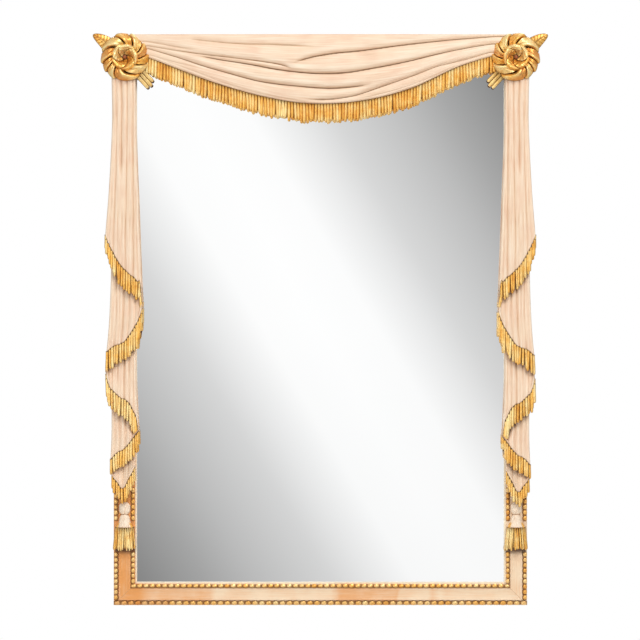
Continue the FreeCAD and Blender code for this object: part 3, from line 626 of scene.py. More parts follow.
def speckled(name, dark, light, speck_size, roughness):
    """A felted, moulded or brushed-out material: an even speckle of two close tones, drawn coarser than
    the real one so that it shows."""
    material, tree, shader = new_material(name)
    place = add(tree, "ShaderNodeTexCoord").outputs["Object"]
    specks = add(tree, "ShaderNodeTexNoise", {"Vector": place, "Scale": 1 / (speck_size * MM), "Detail": 3.0})
    shade = add(tree, "ShaderNodeMix", {0: specks, 6: rgba(linear(dark)), 7: rgba(linear(light))},
                data_type="RGBA")
    marks = add(tree, "ShaderNodeBump", {"Strength": 0.3, "Distance": 0.3 * MM, "Height": specks})
    fill(tree, shader, {"Base Color": shade, "Normal": marks, "Roughness": roughness})
    return material


def finish(name):
    return bpy.data.materials[name]


class CARVED_MIRROR_OT_finishes(bpy.types.Operator):
    """Mixes every finish and lays the plain ones on the frame's own pieces"""

    bl_idname = "carved_mirror.finishes"
    bl_label = "Finishes"

    def execute(self, context):
        hues = context.scene.mirror_colours
        drapery_paint("drapery_paint", hues, follows_grain=True)
        drapery_paint("turned_paint", hues, follows_grain=False)
        gold_leaf("gold_leaf", hues)
        speckled("slip_paint", "#F1E2C2", "#FDF5E4", 6.0, 0.42)
        band_paint("rail_paint", hues, "X")
        band_paint("stile_paint", hues, "Z")
        silvered_glass("silvered_glass")
        grained("birch_plywood", "#A97C4C", "#C99F6C", 2.4, 160.0, 0.65)
        grained("planed_beech", "#A67B52", "#C79B6D", 1.2, 40.0, 0.6)
        grained("zinc_plated_steel", "#8F9296", "#B9BCC0", 0.5, 14.0, 0.36, metallic=1.0)
        grained("brass_plate", "#A9822F", "#D0AA55", 0.5, 14.0, 0.34, metallic=1.0)
        speckled("wool_felt", "#2C2C2E", "#46464A", 1.4, 0.95)
        speckled("moulded_rubber", "#151515", "#262626", 1.8, 0.7)
        speckled("bare_bole", "#7A3E1E", "#AA6036", 2.2, 0.6)
        laid = {
            "rail_paint": ["bottom_rail", "top_rail"],
            "stile_paint": ["left_stile", "right_stile"],
            "slip_paint": ["bottom_slip", "top_slip", "left_slip", "right_slip"],
            "silvered_glass": ["mirror_plate"],
            "birch_plywood": ["backing_board"],
            "planed_beech": ["corner_keys", "rosette_dowels"],
            "zinc_plated_steel": ["left_keyhole_plate", "right_keyhole_plate"],
            "brass_plate": [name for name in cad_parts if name.endswith("_turn_button")],
            "wool_felt": ["felt_sheet"],
            "bare_bole": ["left_rosette_pin", "right_rosette_pin"],
        }
        for name, nodes in laid.items():
            for node in nodes:
                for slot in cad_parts[node].material_slots:
                    slot.material = finish(name)
        return {"FINISHED"}


# Swag
class Crease(NamedTuple):
    """A sharp fold line, its depth and the lengths over which it starts and dies out."""

    points: tuple
    depth: float
    fades: tuple


swag_rows, swag_columns = 132, 560
swag_hem_points = (
    (-391, 34), (-342, 48), (-297, 65), (-215, 96), (-112, 125), (-43, 137), (13, 139),
    (106, 129), (179, 109), (282, 63), (341, 45), (391, 36),
)
swag_creases = (
    Crease(((-267, 10), (-165, 19.5), (-109, 21.5), (-55, 23), (-3, 25)), 4.8, (25, 55)),
    Crease(((-348, 15), (-322, 19.5), (-288, 26), (-235, 35)), 4.8, (0, 45)),
    Crease(((-60, 60), (-45, 55), (-21, 48), (19, 40.5), (81, 34), (157, 23.7), (259, 12.3), (349, 5)),
           8.0, (30, 0)),
    Crease(((-343, 24), (-264, 37), (-173, 48), (-119, 55), (-75, 63), (-50, 72)), 6.0, (0, 25)),
    Crease(((-264, 39), (-211, 50), (-149, 60), (-69, 74), (-3, 79.7), (49, 78), (111, 68),
            (173, 55.7), (242, 38.7), (305, 26), (343, 20)), 8.0, (50, 0)),
    Crease(((-343, 29.5), (-280, 48.7), (-241, 62), (-186, 78), (-119, 95.5), (-42, 105), (19, 109),
            (65, 106), (112, 99)), 7.2, (0, 45)),
    Crease(((-40, 131), (19, 130.7), (65, 124), (127, 104), (187, 83), (234, 65), (275, 55), (339, 37)),
           6.0, (45, 0)),
    Crease(((-341, 42), (-288, 57), (-235, 69)), 3.6, (0, 35)),
    Crease(((-330, 46), (-241, 79), (-186, 100), (-119, 119), (-57, 131), (-20, 135)), 2.4, (20, 40)),
    Crease(((60, 132), (120, 120), (200, 95), (280, 59)), 2.1, (40, 20)),
    Crease(((281, 22), (309, 18), (345, 15)), 3.2, (25, 0)),
    Crease(((56, 47.5), (95, 42), (120, 37.5)), 1.6, (20, 20)),
    Crease(((87, 85), (136, 77)), 1.4, (18, 18)),
)


def swag_hem(x):
    """How far the hem hangs below the swag's top edge."""
    return smooth_line(swag_hem_points, x)


def crease_strength(crease, x):
    """1 along a crease, falling to 0 where it starts and ends."""
    start, end = crease.points[0][0], crease.points[-1][0]
    first, last = crease.fades
    rising = ease((x - start) / first) if first else 1.0
    falling = ease((end - x) / last) if last else 1.0
    return rising * falling


def hem_shade(above_hem):
    """The dark line of glaze and painted shade along a hem."""
    shade_height = 1.6
    return np.exp(-above_hem / shade_height)


def swag_stand(x, drop, sizes):
    """How far the swag stands out from the frame, with glaze and painted shade in its hollows and a painted
    highlight a little above each crease.
    """
    light_above, light_width = 11.0, 5.0
    top_roll, hem_roll, roll_reach = 2.0, 2.6, 4.0
    height = swag_hem(x)
    full = height / max(value for _, value in swag_hem_points)
    share = drop / height
    cuts, lines, shades, lights = [], [], [], []
    for crease in swag_creases:
        offset = drop - smooth_line(crease.points, x)
        strength = crease_strength(crease, x) * between(0.5, 1.0, full)
        weight = strength * min(1, crease.depth / 8)
        cuts.append(groove(offset, crease.depth * strength, 0.6 * crease.depth + 1.0, 1.5 * crease.depth))
        # Each crease gets a dark line of glaze and painted shade, a soft band of painted shade just above it
        # and a painted highlight higher up.
        lines.append(groove(offset, weight, 1.5, 0.9))
        shades.append(groove(offset, 0.5 * weight, 6.0, 0.5))
        lights.append(0.7 * weight * np.exp(-((offset + light_above) / light_width) ** 2))
    crown = sizes.swag_crown / MM * full * np.sin(np.pi * between(0.1, 0.88, share))
    at_hem = np.clip(1 - (height - drop) / roll_reach, 0, 1)
    at_top = np.clip(1 - drop / roll_reach, 0, 1)
    rolled = hem_roll * at_hem ** 2 + top_roll * at_top ** 2
    stand = sizes.swag_edge / MM + crown - together(cuts) - rolled
    shade_and_toning = np.clip(together(lines) + together(shades) + hem_shade(height - drop), 0, 1)
    return stand, shade_and_toning, np.clip(together(lights) - shade_and_toning, 0, 1)


class CARVED_MIRROR_OT_swag(bpy.types.Operator):
    """Carves the swag that hangs between the two rosettes"""

    bl_idname = "carved_mirror.swag"
    bl_label = "Swag"

    def execute(self, context):
        sizes = context.scene.mirror_sizes
        tuck_radius = 44.0
        share = np.linspace(0, 1, swag_rows)[:, None]
        along = np.linspace(-1, 1, swag_columns)[None, :]
        end_height = float(np.mean(swag_hem(np.array([tuck_radius - rosette_x, rosette_x - tuck_radius]))))
        rise = swag_top_z - share * end_height - rosette_z
        reach = rosette_x - np.sqrt(np.maximum(tuck_radius ** 2 - rise ** 2, 0))
        x = along * reach
        drop = share * swag_hem(x)
        stand, shade_and_toning, painted_highlight = swag_stand(x, drop, sizes)
        front = np.stack([x, face_y - stand, swag_top_z - drop], -1)
        points, faces, rim = relief(front, face_y)
        behind = np.zeros(len(rim))
        tallest = max(value for _, value in swag_hem_points)
        grain = np.stack([x, np.broadcast_to(share * tallest, x.shape)], -1).reshape(-1, 2)
        mesh = make_mesh(
            "carved_swag", points, faces,
            {
                "shade_and_toning": np.concatenate([shade_and_toning.ravel(), behind]),
                "painted_highlight": np.concatenate([painted_highlight.ravel(), behind]),
            },
            np.concatenate([grain, grain[rim]]),
        )
        dress(new_object("carved_swag", mesh, finish("drapery_paint")), "cream_paint", "swag")
        return {"FINISHED"}


# Fringe
strand_sides = 8
strand_rings = ((0.0, 1.0), (0.07, 1.0), (0.32, 0.96), (0.62, 1.04), (0.9, 0.98), (0.97, 0.72))


def strand_template(gap_shade, top_shade):
    """One strand of carved fringe, of unit radius and unit length, hanging down from its top."""
    turns = np.arange(strand_sides) * 2 * math.pi / strand_sides
    points, shade_and_toning = [], []
    for fall, radius in strand_rings:
        for turn in turns:
            points.append((radius * math.cos(turn), radius * math.sin(turn), -fall))
            # Painted shade on the sides where strands meet their neighbours, and along the top under the hem.
            sideways = gap_shade * abs(math.cos(turn)) ** 3
            shade_and_toning.append(max(sideways, 1 - fall / top_shade))
    rings = len(strand_rings)
    points += [(0, 0, 0), (0, 0, -1)]
    shade_and_toning += [1.0, 0.15]
    faces = grid_faces(rings, strand_sides, ring=True)
    top, foot = rings * strand_sides, rings * strand_sides + 1
    last = (rings - 1) * strand_sides
    for side in range(strand_sides):
        beside = (side + 1) % strand_sides
        faces.append((top, beside, side))
        faces.append((foot, last + side, last + beside))
    return make_mesh("strand", np.array(points) / MM, faces, {"shade_and_toning": shade_and_toning}, sharp_degrees=75)


def spaced(line, pitch):
    """Points at an even pitch along a line of (x, stand, z, length). A climb counts for less than a step
    aside."""
    steps = np.hypot(np.diff(line[:, 0]), 0.6 * np.diff(line[:, 2]))
    travelled = np.concatenate([[0], np.cumsum(steps)])
    marks = np.linspace(0, travelled[-1], max(2, round(travelled[-1] / pitch)))
    return np.stack([np.interp(marks, travelled, line[:, axis]) for axis in range(line.shape[1])], -1)


def fringe(name, rows, width, shades, seed):
    """Strands that hang from lines of (x, stand, z, length), each line backed by a thin sheet that is dark
    all over, painted shade in the gaps between strands.
    """
    made = []
    for index, line in enumerate(rows):
        tops = spaced(line, 0.93 * width)
        x, stand, z, fall = tops.T
        places = np.stack([x, face_y - stand, z], -1)
        scale = np.stack([np.full_like(x, width / 2), np.full_like(x, width / 2), fall], -1) * MM
        made.append(copies(
            f"{name}_{index}", strand_template(*shades), places, scale, (0, 0, 0), finish("gold_leaf"),
            scatter=0.08, lean=0.05, patch=26.0, seed=seed + 10 * index,
        ))
        sheet_shares = (0.0, 0.45, 0.86)
        front = np.stack([
            np.stack([x, face_y - stand + width * 0.18, z - share * fall], -1) for share in sheet_shares
        ])
        points, faces = relief_sheet(front, width * 0.35)
        # Dark all over: painted shade in the gaps between strands.
        fields = {"shade_and_toning": np.full(len(points), 0.95), "tone": np.full(len(points), 0.3)}
        sheet = make_mesh(name, points, faces, fields)
        made.append(new_object(name + "_backing", sheet, finish("gold_leaf")))
    return joined(name, made)


class CARVED_MIRROR_OT_swag_fringe(bpy.types.Operator):
    """Hangs two rows of carved strands below the swag's hem"""

    bl_idname = "carved_mirror.swag_fringe"
    bl_label = "Swag fringe"

    def execute(self, context):
        sizes = context.scene.mirror_sizes
        end_gap, tuck, full_fall = 44.0, 1.5, 36.0
        x = np.linspace(end_gap - rosette_x, rosette_x - end_gap, 160)
        z = swag_top_z - swag_hem(x) + tuck
        fall = full_fall * (1 - 0.22 * (x / rosette_x) ** 4) + tuck
        width = sizes.swag_strand / MM
        rows = [
            np.stack([x, np.full_like(x, 9.8), z, fall], -1),
            np.stack([x + width / 2, np.full_like(x, 6.0), z, fall - 2.0], -1),
        ]
        dress(fringe("gilt_swag_fringe", rows, width, (0.45, 0.12), 11), "gilt", "swag_fringe")
        return {"FINISHED"}


# Drops: out is the distance outwards from the rosette's centre, and down the distance below it
class Tier(NamedTuple):
    """One fall of cloth: its two edges as (down, out), its hem as (out, down), its flutes and fringe."""

    outer: tuple
    inner: tuple
    hem: tuple
    flutes: tuple
    falls: tuple


class Flute(NamedTuple):
    """A groove between shares of the width, at the top and the hem, with its run and depth."""

    top_share: float
    hem_share: float
    first: float
    last: float
    depth: float


tier_rows, tier_columns = 96, 84
drop_tiers = (
    Tier(
        outer=((40, 26.8), (126, 25.6), (205, 28.5), (286, 33.2), (357, 39)),
        inner=((40, -21.3), (126, -21.8), (205, -23.8), (286, -27), (346, -29), (422, -32), (465, -33.5),
               (491, -34.5)),
        hem=((39, 357), (28.6, 380), (7.6, 416.6), (-11.6, 436), (-25, 449), (-33, 468), (-34.5, 491)),
        flutes=(
            Flute(0.18, 0.24, 0.0, 1.0, 4.0), Flute(0.40, 0.42, 0.0, 0.58, 6.0),
            Flute(0.65, 0.57, 0.0, 1.0, 4.8), Flute(0.90, 0.79, 0.0, 1.0, 5.4),
            Flute(0.09, 0.12, 0.2, 1.0, 2.0), Flute(0.50, 0.47, 0.66, 1.0, 3.0),
            Flute(0.36, 0.34, 0.68, 1.0, 3.0), Flute(0.93, 0.91, 0.5, 1.0, 3.4),
            Flute(0.76, 0.69, 0.3, 0.9, 2.4),
        ),
        falls=((39, 27), (27, 37), (8, 38), (-18, 36), (-28, 33), (-33, 24), (-34.5, 10)),
    ),
    Tier(
        outer=((395, 27.5), (470, 29), (546, 32.5), (591, 36.5)),
        inner=((440, -31), (491, -34.5), (512, -35)),
        hem=((-34.5, 504), (-31.6, 513), (-11.6, 552), (-2, 566), (26.6, 581), (36.5, 590)),
        flutes=(
            Flute(0.20, 0.20, 0.0, 1.0, 3.6), Flute(0.46, 0.40, 0.0, 1.0, 5.0),
            Flute(0.64, 0.58, 0.0, 1.0, 4.2), Flute(0.82, 0.78, 0.0, 1.0, 3.8),
            Flute(0.10, 0.10, 0.0, 1.0, 2.0), Flute(0.32, 0.30, 0.2, 1.0, 2.4),
        ),
        falls=((-35, 30), (-28, 44), (-13, 43), (-2, 37), (36.5, 42)),
    ),
    Tier(
        outer=((600, 33), (625, 37), (640, 38)),
        inner=((540, -21), (640, -22.5), (720, -25.5), (750, -27)),
        hem=((38, 634), (29, 661), (22, 668.4), (5.8, 682.6), (-3, 686), (-17.4, 707.6), (-25, 731),
             (-27, 749)),
        flutes=(
            Flute(0.18, 0.22, 0.0, 1.0, 3.4), Flute(0.36, 0.38, 0.0, 1.0, 3.0),
            Flute(0.60, 0.60, 0.0, 1.0, 5.0), Flute(0.79, 0.77, 0.0, 1.0, 4.2),
            Flute(0.92, 0.90, 0.1, 1.0, 2.6),
        ),
        falls=((38, 22), (33, 40), (27, 39), (9, 35), (-10, 41), (-22, 36), (-27, 16)),
    ),
    Tier(
        outer=((690, 27), (770, 27), (806, 28.5)),
        inner=((730, -25), (750, -27), (760, -26.5)),
        hem=((-27, 750), (-21, 756), (-10, 770), (0.6, 782.6), (18.4, 793.4), (28.5, 805)),
        flutes=(
            Flute(0.34, 0.30, 0.0, 1.0, 4.2), Flute(0.58, 0.52, 0.0, 1.0, 4.6),
            Flute(0.80, 0.78, 0.0, 1.0, 3.2), Flute(0.15, 0.14, 0.0, 1.0, 2.6),
        ),
        falls=((-27, 26), (-19, 37), (-10, 37), (4, 33), (28.5, 30)),
    ),
    Tier(
        outer=((806, 27), (838, 25.5)),
        inner=((780, -20.5), (822, -19.5)),
        hem=((25.5, 838), (15, 850), (4, 863), (-8, 842), (-19.5, 822)),
        flutes=(
            Flute(0.5, 0.48, 0.0, 1.0, 4.0), Flute(0.24, 0.3, 0.0, 1.0, 3.0),
            Flute(0.76, 0.68, 0.0, 1.0, 3.2),
        ),
        falls=((25.5, 25), (4, 28), (-19.5, 26)),
    ),
)
# The right-hand drop was carved with its lower tiers a little longer.
tier_sags = {"left": (0, 0, 0, 0, 0), "right": (0, 7, 10, 11, 7)}


def lowered(tier, sag):
    """The same tier, hung lower."""
    return tier._replace(
        outer=tuple((down + sag, out) for down, out in tier.outer),
        inner=tuple((down + sag, out) for down, out in tier.inner),
        hem=tuple((out, down + sag) for out, down in tier.hem),
    )


def tier_grid(tier, top_line):
    """A tier's points as distances out and down, from its top line to its hem."""
    share = np.linspace(0, 1, tier_columns)

    def across(down):
        return between(smooth_line(tier.outer, down), smooth_line(tier.inner, down), share)

    def crossing(line):
        start, end = line[0][0], line[-1][0]
        if start <= end:
            start, end = tier.outer[0][1], tier.inner[0][1]
        out = between(start, end, share)
        for _ in range(16):
            down = smooth_line(line, out)
            out = (out + across(down)) / 2
        return smooth_line(line, out)

    run = 1 - np.linspace(1, 0, tier_rows)[:, None] ** 2
    top, foot = crossing(top_line), crossing(tier.hem)
    down = between(np.minimum(top, foot - 4.0), foot, run)
    return across(down), down, run, share


def hem_steepness(out, down):
    """The sine of a hem's slope, which is positive where it falls outwards."""
    slope = np.gradient(down, out)
    return slope / np.sqrt(1 + slope ** 2)


def tier_stand(tier, out, down, run, share, covered, sizes):
    """How far a tier stands out, with rounded edges and flutes, glaze and painted shade in its hollows and a
    painted highlight on its crests. It lies low as far as the fringe above covers it, and then comes forward
    to a lip along its own hem."""
    flute_width, line_width, deepest_flute = 3.4, 1.3, 5.4
    lip_height, lip_roll = 3.0, 3.5
    width = out[:, :1] - out[:, -1:]
    cuts, lines = [], []
    for flute in tier.flutes:
        place = between(flute.top_share, flute.hem_share, run)
        offset = (share - place) * width
        opening = ease((run - flute.first) / 0.08 + (flute.first == 0))
        closing = ease((flute.last - run) / 0.14 + (flute.last == 1))
        cuts.append(groove(offset, 0.72 * flute.depth * opening * closing, flute_width, flute_width))
        weight = 0.4 * opening * closing * flute.depth / deepest_flute
        lines.append(groove(offset, weight, line_width, line_width))
    edge = np.minimum(share, 1 - share) * width
    rounding = between(6.0, 2.5, run)
    turned = rounding * (1 - np.sqrt(1 - np.clip(1 - edge / rounding, 0, 1) ** 2))
    crown = 2.5 * np.sin(np.pi * share)
    from_hem = (down[-1] - down) * np.sqrt(1 - hem_steepness(out[-1], down[-1]) ** 2)
    lip = 1 - ease((from_hem - lip_height) / lip_roll)
    rise = np.maximum(ease((run - covered) / (1 - covered)), lip)
    level = between(sizes.drop_top / MM, sizes.drop_hem / MM, rise) + crown * between(0.3, 1, rise)
    stand = level - together(cuts) - turned
    # Flute lines and places lower than their neighbours get glaze and painted shade; raised places get a
    # painted highlight.
    raised = local_relief(stand, (1, 6))
    shade_and_toning = np.clip(together(lines) + np.clip(-raised / 6.0, 0, 0.2), 0, 1)
    return stand, shade_and_toning, np.clip(raised / 2.2, 0, 0.7)


def fringe_shadow(above, out, down):
    """The glaze and painted shadow on the cloth below the fringe of the tier above."""
    strength, reach = 0.62, 9.0
    gap = down - smooth_line(above.hem, out) - smooth_line(above.falls, out)
    return strength * np.exp(-np.maximum(gap, 0) / reach)


def wreath_line():
    """The line under the wreath's edge where a drop comes out."""
    tuck_radius = 43.0
    return tuple((out, math.sqrt(tuck_radius ** 2 - out ** 2)) for out in (30, 20, 10, 0, -10, -20, -26))


def side_points(out, stand, down, hand):
    return np.stack([hand * (rosette_x + out), face_y - stand, rosette_z - down], -1)


class CARVED_MIRROR_OT_drops(bpy.types.Operator):
    """Carves the two side drops, tier below tier, with the fringe that zigzags down them"""

    bl_idname = "carved_mirror.drops"
    bl_label = "Side drops"

    def execute(self, context):
        sizes = context.scene.mirror_sizes
        for side, hand in SIDES.items():
            cloth, hems = [], []
            above = None
            for number, plan in enumerate(drop_tiers):
                tier = lowered(plan, tier_sags[side][number])
                out, down, run, share = tier_grid(tier, above.hem if above else wreath_line())
                covered = -0.3
                if above:
                    covered = np.clip(smooth_line(above.falls, out[:1]) / (down[-1:] - down[:1]), 0, 0.75)
                stand, shade_and_toning, painted_highlight = tier_stand(tier, out, down, run, share, covered, sizes)
                shade_and_toning = np.clip(shade_and_toning + hem_shade(down[-1] - down), 0, 1)
                if above:
                    shade_and_toning = np.clip(shade_and_toning + fringe_shadow(above, out, down), 0, 1)
                painted_highlight = np.clip(painted_highlight - shade_and_toning, 0, 1)
                points, faces, rim = relief(side_points(out, stand, down, hand), face_y)
                grain = np.stack([down, out], -1).reshape(-1, 2)
                behind = np.zeros(len(rim))
                fields = {
                    "shade_and_toning": np.concatenate([shade_and_toning.ravel(), behind]),
                    "painted_highlight": np.concatenate([painted_highlight.ravel(), behind]),
                }
                mesh = make_mesh("tier", points, faces, fields, np.concatenate([grain, grain[rim]]))
                cloth.append(new_object(f"tier_{number}", mesh, finish("drapery_paint")))
                hems.append(self.hem_line(tier, out[-1], down[-1], stand[-1:], hand, sizes))
                above = tier
            dress(joined(f"{side}_carved_drop", cloth), "cream_paint", f"{side}_drop")
            seed = 31 if hand < 0 else 71
            gilt = fringe(f"{side}_gilt_drop_fringe", hems, sizes.drop_strand / MM, (0.8, 0.06), seed)
            dress(gilt, "gilt", f"{side}_drop_fringe")
        return {"FINISHED"}

    def hem_line(self, tier, out, down, cloth, hand, sizes):
        """Where a tier's strands hang from, kept under the cloth's edge, with their lengths."""
        tuck = 1.8
        width = sizes.drop_strand / MM
        beside = out - 0.3 * width * hem_steepness(out, down)
        beside = np.clip(beside, out.min() + 0.25 * width, out.max() - 0.25 * width)
        stand = (cloth - local_relief(cloth, (0, 1)))[0] - 0.6 * width
        places = side_points(beside, stand, down - tuck, hand)
        fall = smooth_line(tier.falls, out) + tuck
        return np.stack([places[:, 0], stand, places[:, 2], fall], -1)


# Rosettes
ring_columns, wreath_rows, rose_rows = 420, 48, 46


def around(radius, turn, stand, hand):
    """Points around a rosette's centre, mirrored for the left-hand corner."""
    x = hand * (rosette_x + radius * np.cos(turn))
    return np.stack([x, face_y - stand, rosette_z + radius * np.sin(turn)], -1)


def ring_grid(rows):
    """Turns round a rosette and shares of the way outwards, as a row and a column."""
    turn = np.linspace(0, 2 * math.pi, ring_columns, endpoint=False)[None, :]
    return turn, np.linspace(0, 1, rows)[:, None]


def wreath_mesh(hand, sizes):
    """A ring of broad leaves that lap over one another like a twisted garland."""
    leaf_tones = np.array((0.35, 0.7, 0.3, 0.6, 0.5, 0.3, 0.75, 0.4, 0.65, 0.35))
    leaf_wear = np.array((0.5, 0.0, 0.2, 0.0, 0.5, 0.0, 0.1, 0.5, 0.0, 0.3))
    inner_radius, outer_radius, scallop, base, twist, overlap = 22.5, 45.6, 3.4, 9.0, 0.5, 0.28
    pit_radius = 31.0
    leaves = len(leaf_tones)
    turn, share = ring_grid(wreath_rows)
    uneven = 0.28 * np.sin(2 * turn + 0.7) + 0.16 * np.sin(3 * turn + 2.0)
    winding = leaves * (turn + twist * (share - 0.5)) / (2 * math.pi) + uneven
    place = winding % 1
    leaf = np.floor(winding).astype(int) % leaves
    swell = ease(place / overlap) * (1 - 0.62 * ease((place - overlap) / (1 - overlap)))
    radius = between(inner_radius, outer_radius + scallop * swell[-1:], share)
    arch = np.sin(np.pi * between(0.14, 0.94, share)) ** 0.7
    across = place * 2 * math.pi * (inner_radius + outer_radius) / 2 / leaves
    fold = np.exp(-np.abs(place - between(0.72, 0.5, share)) / 0.05) * (1 - 0.7 * share)
    pit = np.exp(-(across / 4.2) ** 2 - ((radius - pit_radius) / 4.2) ** 2)
    rise = sizes.wreath_height / MM - base
    stand = base + rise * arch * between(0.5, 1.0, swell) - 2.2 * fold - 6.0 * pit
    depth = share * (outer_radius - inner_radius)
    # Painted shade in the gaps between leaves, along each fold, at both edges and in the pits.
    edges = 0.8 * np.exp(-depth / 1.6) + 0.7 * np.exp(-(outer_radius - inner_radius - depth) / 1.2)
    gap = between(5.0, 1.4, ease(share / 0.5))
    shade_and_toning = np.clip(0.9 * np.exp(-(across / gap) ** 1.5) + 0.55 * fold + edges + 0.85 * pit, 0, 1)
    tone = np.clip(leaf_tones[leaf] + 0.5 * (swell - 0.7), 0, 1)
    wear = leaf_wear[leaf] * ease((place - 0.3) / 0.3)
    points, faces = ring_relief(around(radius, turn, stand, hand), face_y)
    rim = np.zeros(ring_columns)
    return make_mesh(f"wreath_{hand}", points, faces, {
        "shade_and_toning": np.concatenate([rim + 0.9, shade_and_toning.ravel(), rim + 0.9]),
        "tone": np.concatenate([rim, tone.ravel(), rim]),
        "wear": np.concatenate([rim, wear.ravel(), rim]),
    })


def rose_mesh(hand, sizes):
    """An open rose: five cupped petals, each lapping over the next, round a dark eye."""
    # Upper petals lighter and lower petals darker, as painted light from above.
    top_lit_petal_tones = np.array((0.75, 0.85, 0.6, 0.35, 0.3))
    eye_radius, outer_radius, base, first, twist = 5.2, 27.6, 11.0, math.radians(18), 1.3
    petals = len(top_lit_petal_tones)
    turn, share = ring_grid(rose_rows)
    winding = petals * (turn - first - twist * (share - 0.6)) / (2 * math.pi) + 0.5
    place = winding % 1
    petal = np.floor(winding).astype(int) % petals
    edge = np.abs(2 * place - 1)
    radius = between(eye_radius, outer_radius * (1 - 0.05 * edge[-1:] ** 3), share)
    roll = np.clip((share - 0.78) / 0.22, 0, 1) ** 2
    cup = 0.2 + 0.8 * ease(share / 0.8) - 0.5 * roll
    lap = 0.22 * (0.5 - place)
    lines = 0.022 * np.cos(2 * math.pi * (radius / 4.6 - 0.8 * edge)) * ease((share - 0.2) / 0.2)
    rise = sizes.rose_height / MM - base
    stand = base + rise * (0.9 * cup * (1 - 0.2 * edge ** 2) + lap + lines)
    half_petal = math.pi * radius / petals
    # Painted shade under each lapping petal, at the eye and the rim, and in the fine lines of the lower
    # petals.
    under = np.exp(-(1 - place) * 2 * half_petal / 1.3)
    veins = -14 * (1 - top_lit_petal_tones[petal]) * np.minimum(lines, 0)
    rim_shade = 0.5 * np.exp(-(1 - share) * outer_radius / 1.2)
    eye_shade = 0.8 * np.exp(-(radius - eye_radius) / 1.3)
    shade_and_toning = np.clip(0.8 * under + eye_shade + veins + rim_shade, 0, 1)
    # Lighter where the cup rises: painted highlight.
    tone = np.clip(top_lit_petal_tones[petal] + 0.35 * (cup - 0.7), 0, 1)
    level = np.full(ring_columns, base + 2.0)
    eye = [around(0.6, turn[0], level - 0.5, hand)[None], around(eye_radius, turn[0], level, hand)[None]]
    front = np.concatenate(eye + [around(radius, turn, stand, hand)])
    points, faces = ring_relief(front, face_y - base + 2.0)
    # The eye is dark all over: painted shade.
    dark = np.full(ring_columns, 1.0)
    return make_mesh(f"rose_{hand}", points, faces, {
        "shade_and_toning": np.concatenate([dark, dark, dark, shade_and_toning.ravel(), dark]),
        "tone": np.concatenate([dark * 0, dark * 0, dark * 0, tone.ravel(), dark * 0]),
    })


def leaf_mesh(hand, sizes):
    """A broad, blunt leaf with a midrib and slanting veins."""
    root, tip, half_width, angle, rows, columns = 36.0, 78.0, 15.5, math.radians(35.3), 72, 45
    along = np.linspace(0, 1, rows)[:, None]
    across = np.linspace(-1, 1, columns)[None, :]
    width = half_width * np.sqrt(1 - np.clip(along, 0, 0.999) ** 2.6) * between(1.0, 0.62, along) + 0.3
    side = across * width + 1.5 * np.sin(np.pi * along)
    vein = (6.0 * along - 0.9 * np.abs(across)) % 1
    ribs = 0.5 * np.exp(-np.abs(vein - 0.5) / 0.1) * ease(np.abs(across) / 0.2)
    midrib = 0.9 * np.exp(-np.abs(across) * width / 1.0)
    arch = 3.5 * np.sin(np.pi * (0.15 + 0.7 * along))
    stand = sizes.leaf_height / MM + arch - 3.0 * across ** 2 - ribs - midrib
    reach = between(root, tip, along)
    x = rosette_x + reach * math.cos(angle) - side * math.sin(angle)
    z = rosette_z + reach * math.sin(angle) + side * math.cos(angle)
    points, faces, rim = relief(np.stack([hand * x, face_y - stand, z], -1), face_y - 2.0)
    # Painted shade in the ribs, along the midrib, near the root and at the edges, over an even toning.
    edge = np.exp(-(1 - np.abs(across)) * width / 1.0)
    shade_and_toning = np.clip(0.22 + 0.6 * ribs + 0.5 * midrib + 0.8 * np.exp(-along / 0.2) + 0.5 * edge, 0, 1)
    tone = 0.2 + 0.14 * np.cos(2 * math.pi * vein) + 0 * across
    return make_mesh(f"leaf_{hand}", points, faces, {
        "shade_and_toning": np.concatenate([shade_and_toning.ravel(), np.full(len(rim), 0.6)]),
        "tone": np.concatenate([tone.ravel(), np.full(len(rim), 0.2)]),
    })


def stems_mesh(hand):
    """Three split reeds, side by side, flat on top, with cut ends of different lengths."""
    start, angle, width, height = 34.0, math.radians(227.0), 7.6, 10.5
    reeds = ((-7.7, 74.0, 0.9), (0.0, 79.0, 1.0), (7.7, 77.0, 0.86))
    profile = np.linspace(0, math.pi, 15)
    points, faces, shade_and_toning = [], [], []
    for offset, end, rise in reeds:
        rings = []
        for reach, shrink in ((start, 1.0), (end - 4.5, 1.0), (end - 1.4, 0.84), (end, 0.4)):
            side = offset - shrink * width / 2 * np.cos(profile)
            stand = 1.0 + (height * rise * shrink - 1.0) * np.sin(profile) ** 0.2
            x = rosette_x + reach * math.cos(angle) - side * math.sin(angle)
            z = rosette_z + reach * math.sin(angle) + side * math.cos(angle)
            rings.append(np.stack([hand * x, face_y - stand, z], -1))
        base = len(points) * len(profile)
        points += rings
        # Painted shade where the reeds come out from under the wreath and along their sides.
        shade = np.add.outer((0.8, 0.05, 0.0, 0.1), 0.9 * np.abs(np.cos(profile)) ** 10)
        shade_and_toning.append(np.clip(shade, 0, 1).ravel())
        faces += [[corner + base for corner in face] for face in grid_faces(4, len(profile), ring=True)]
        faces.append((base + np.arange(len(profile))[::-1]).tolist())
        faces.append((base + 3 * len(profile) + np.arange(len(profile))).tolist())
    points = np.concatenate(points)
    tone = np.full(len(points), 0.6)
    return make_mesh(f"stems_{hand}", points, faces, {"shade_and_toning": np.concatenate(shade_and_toning), "tone": tone})


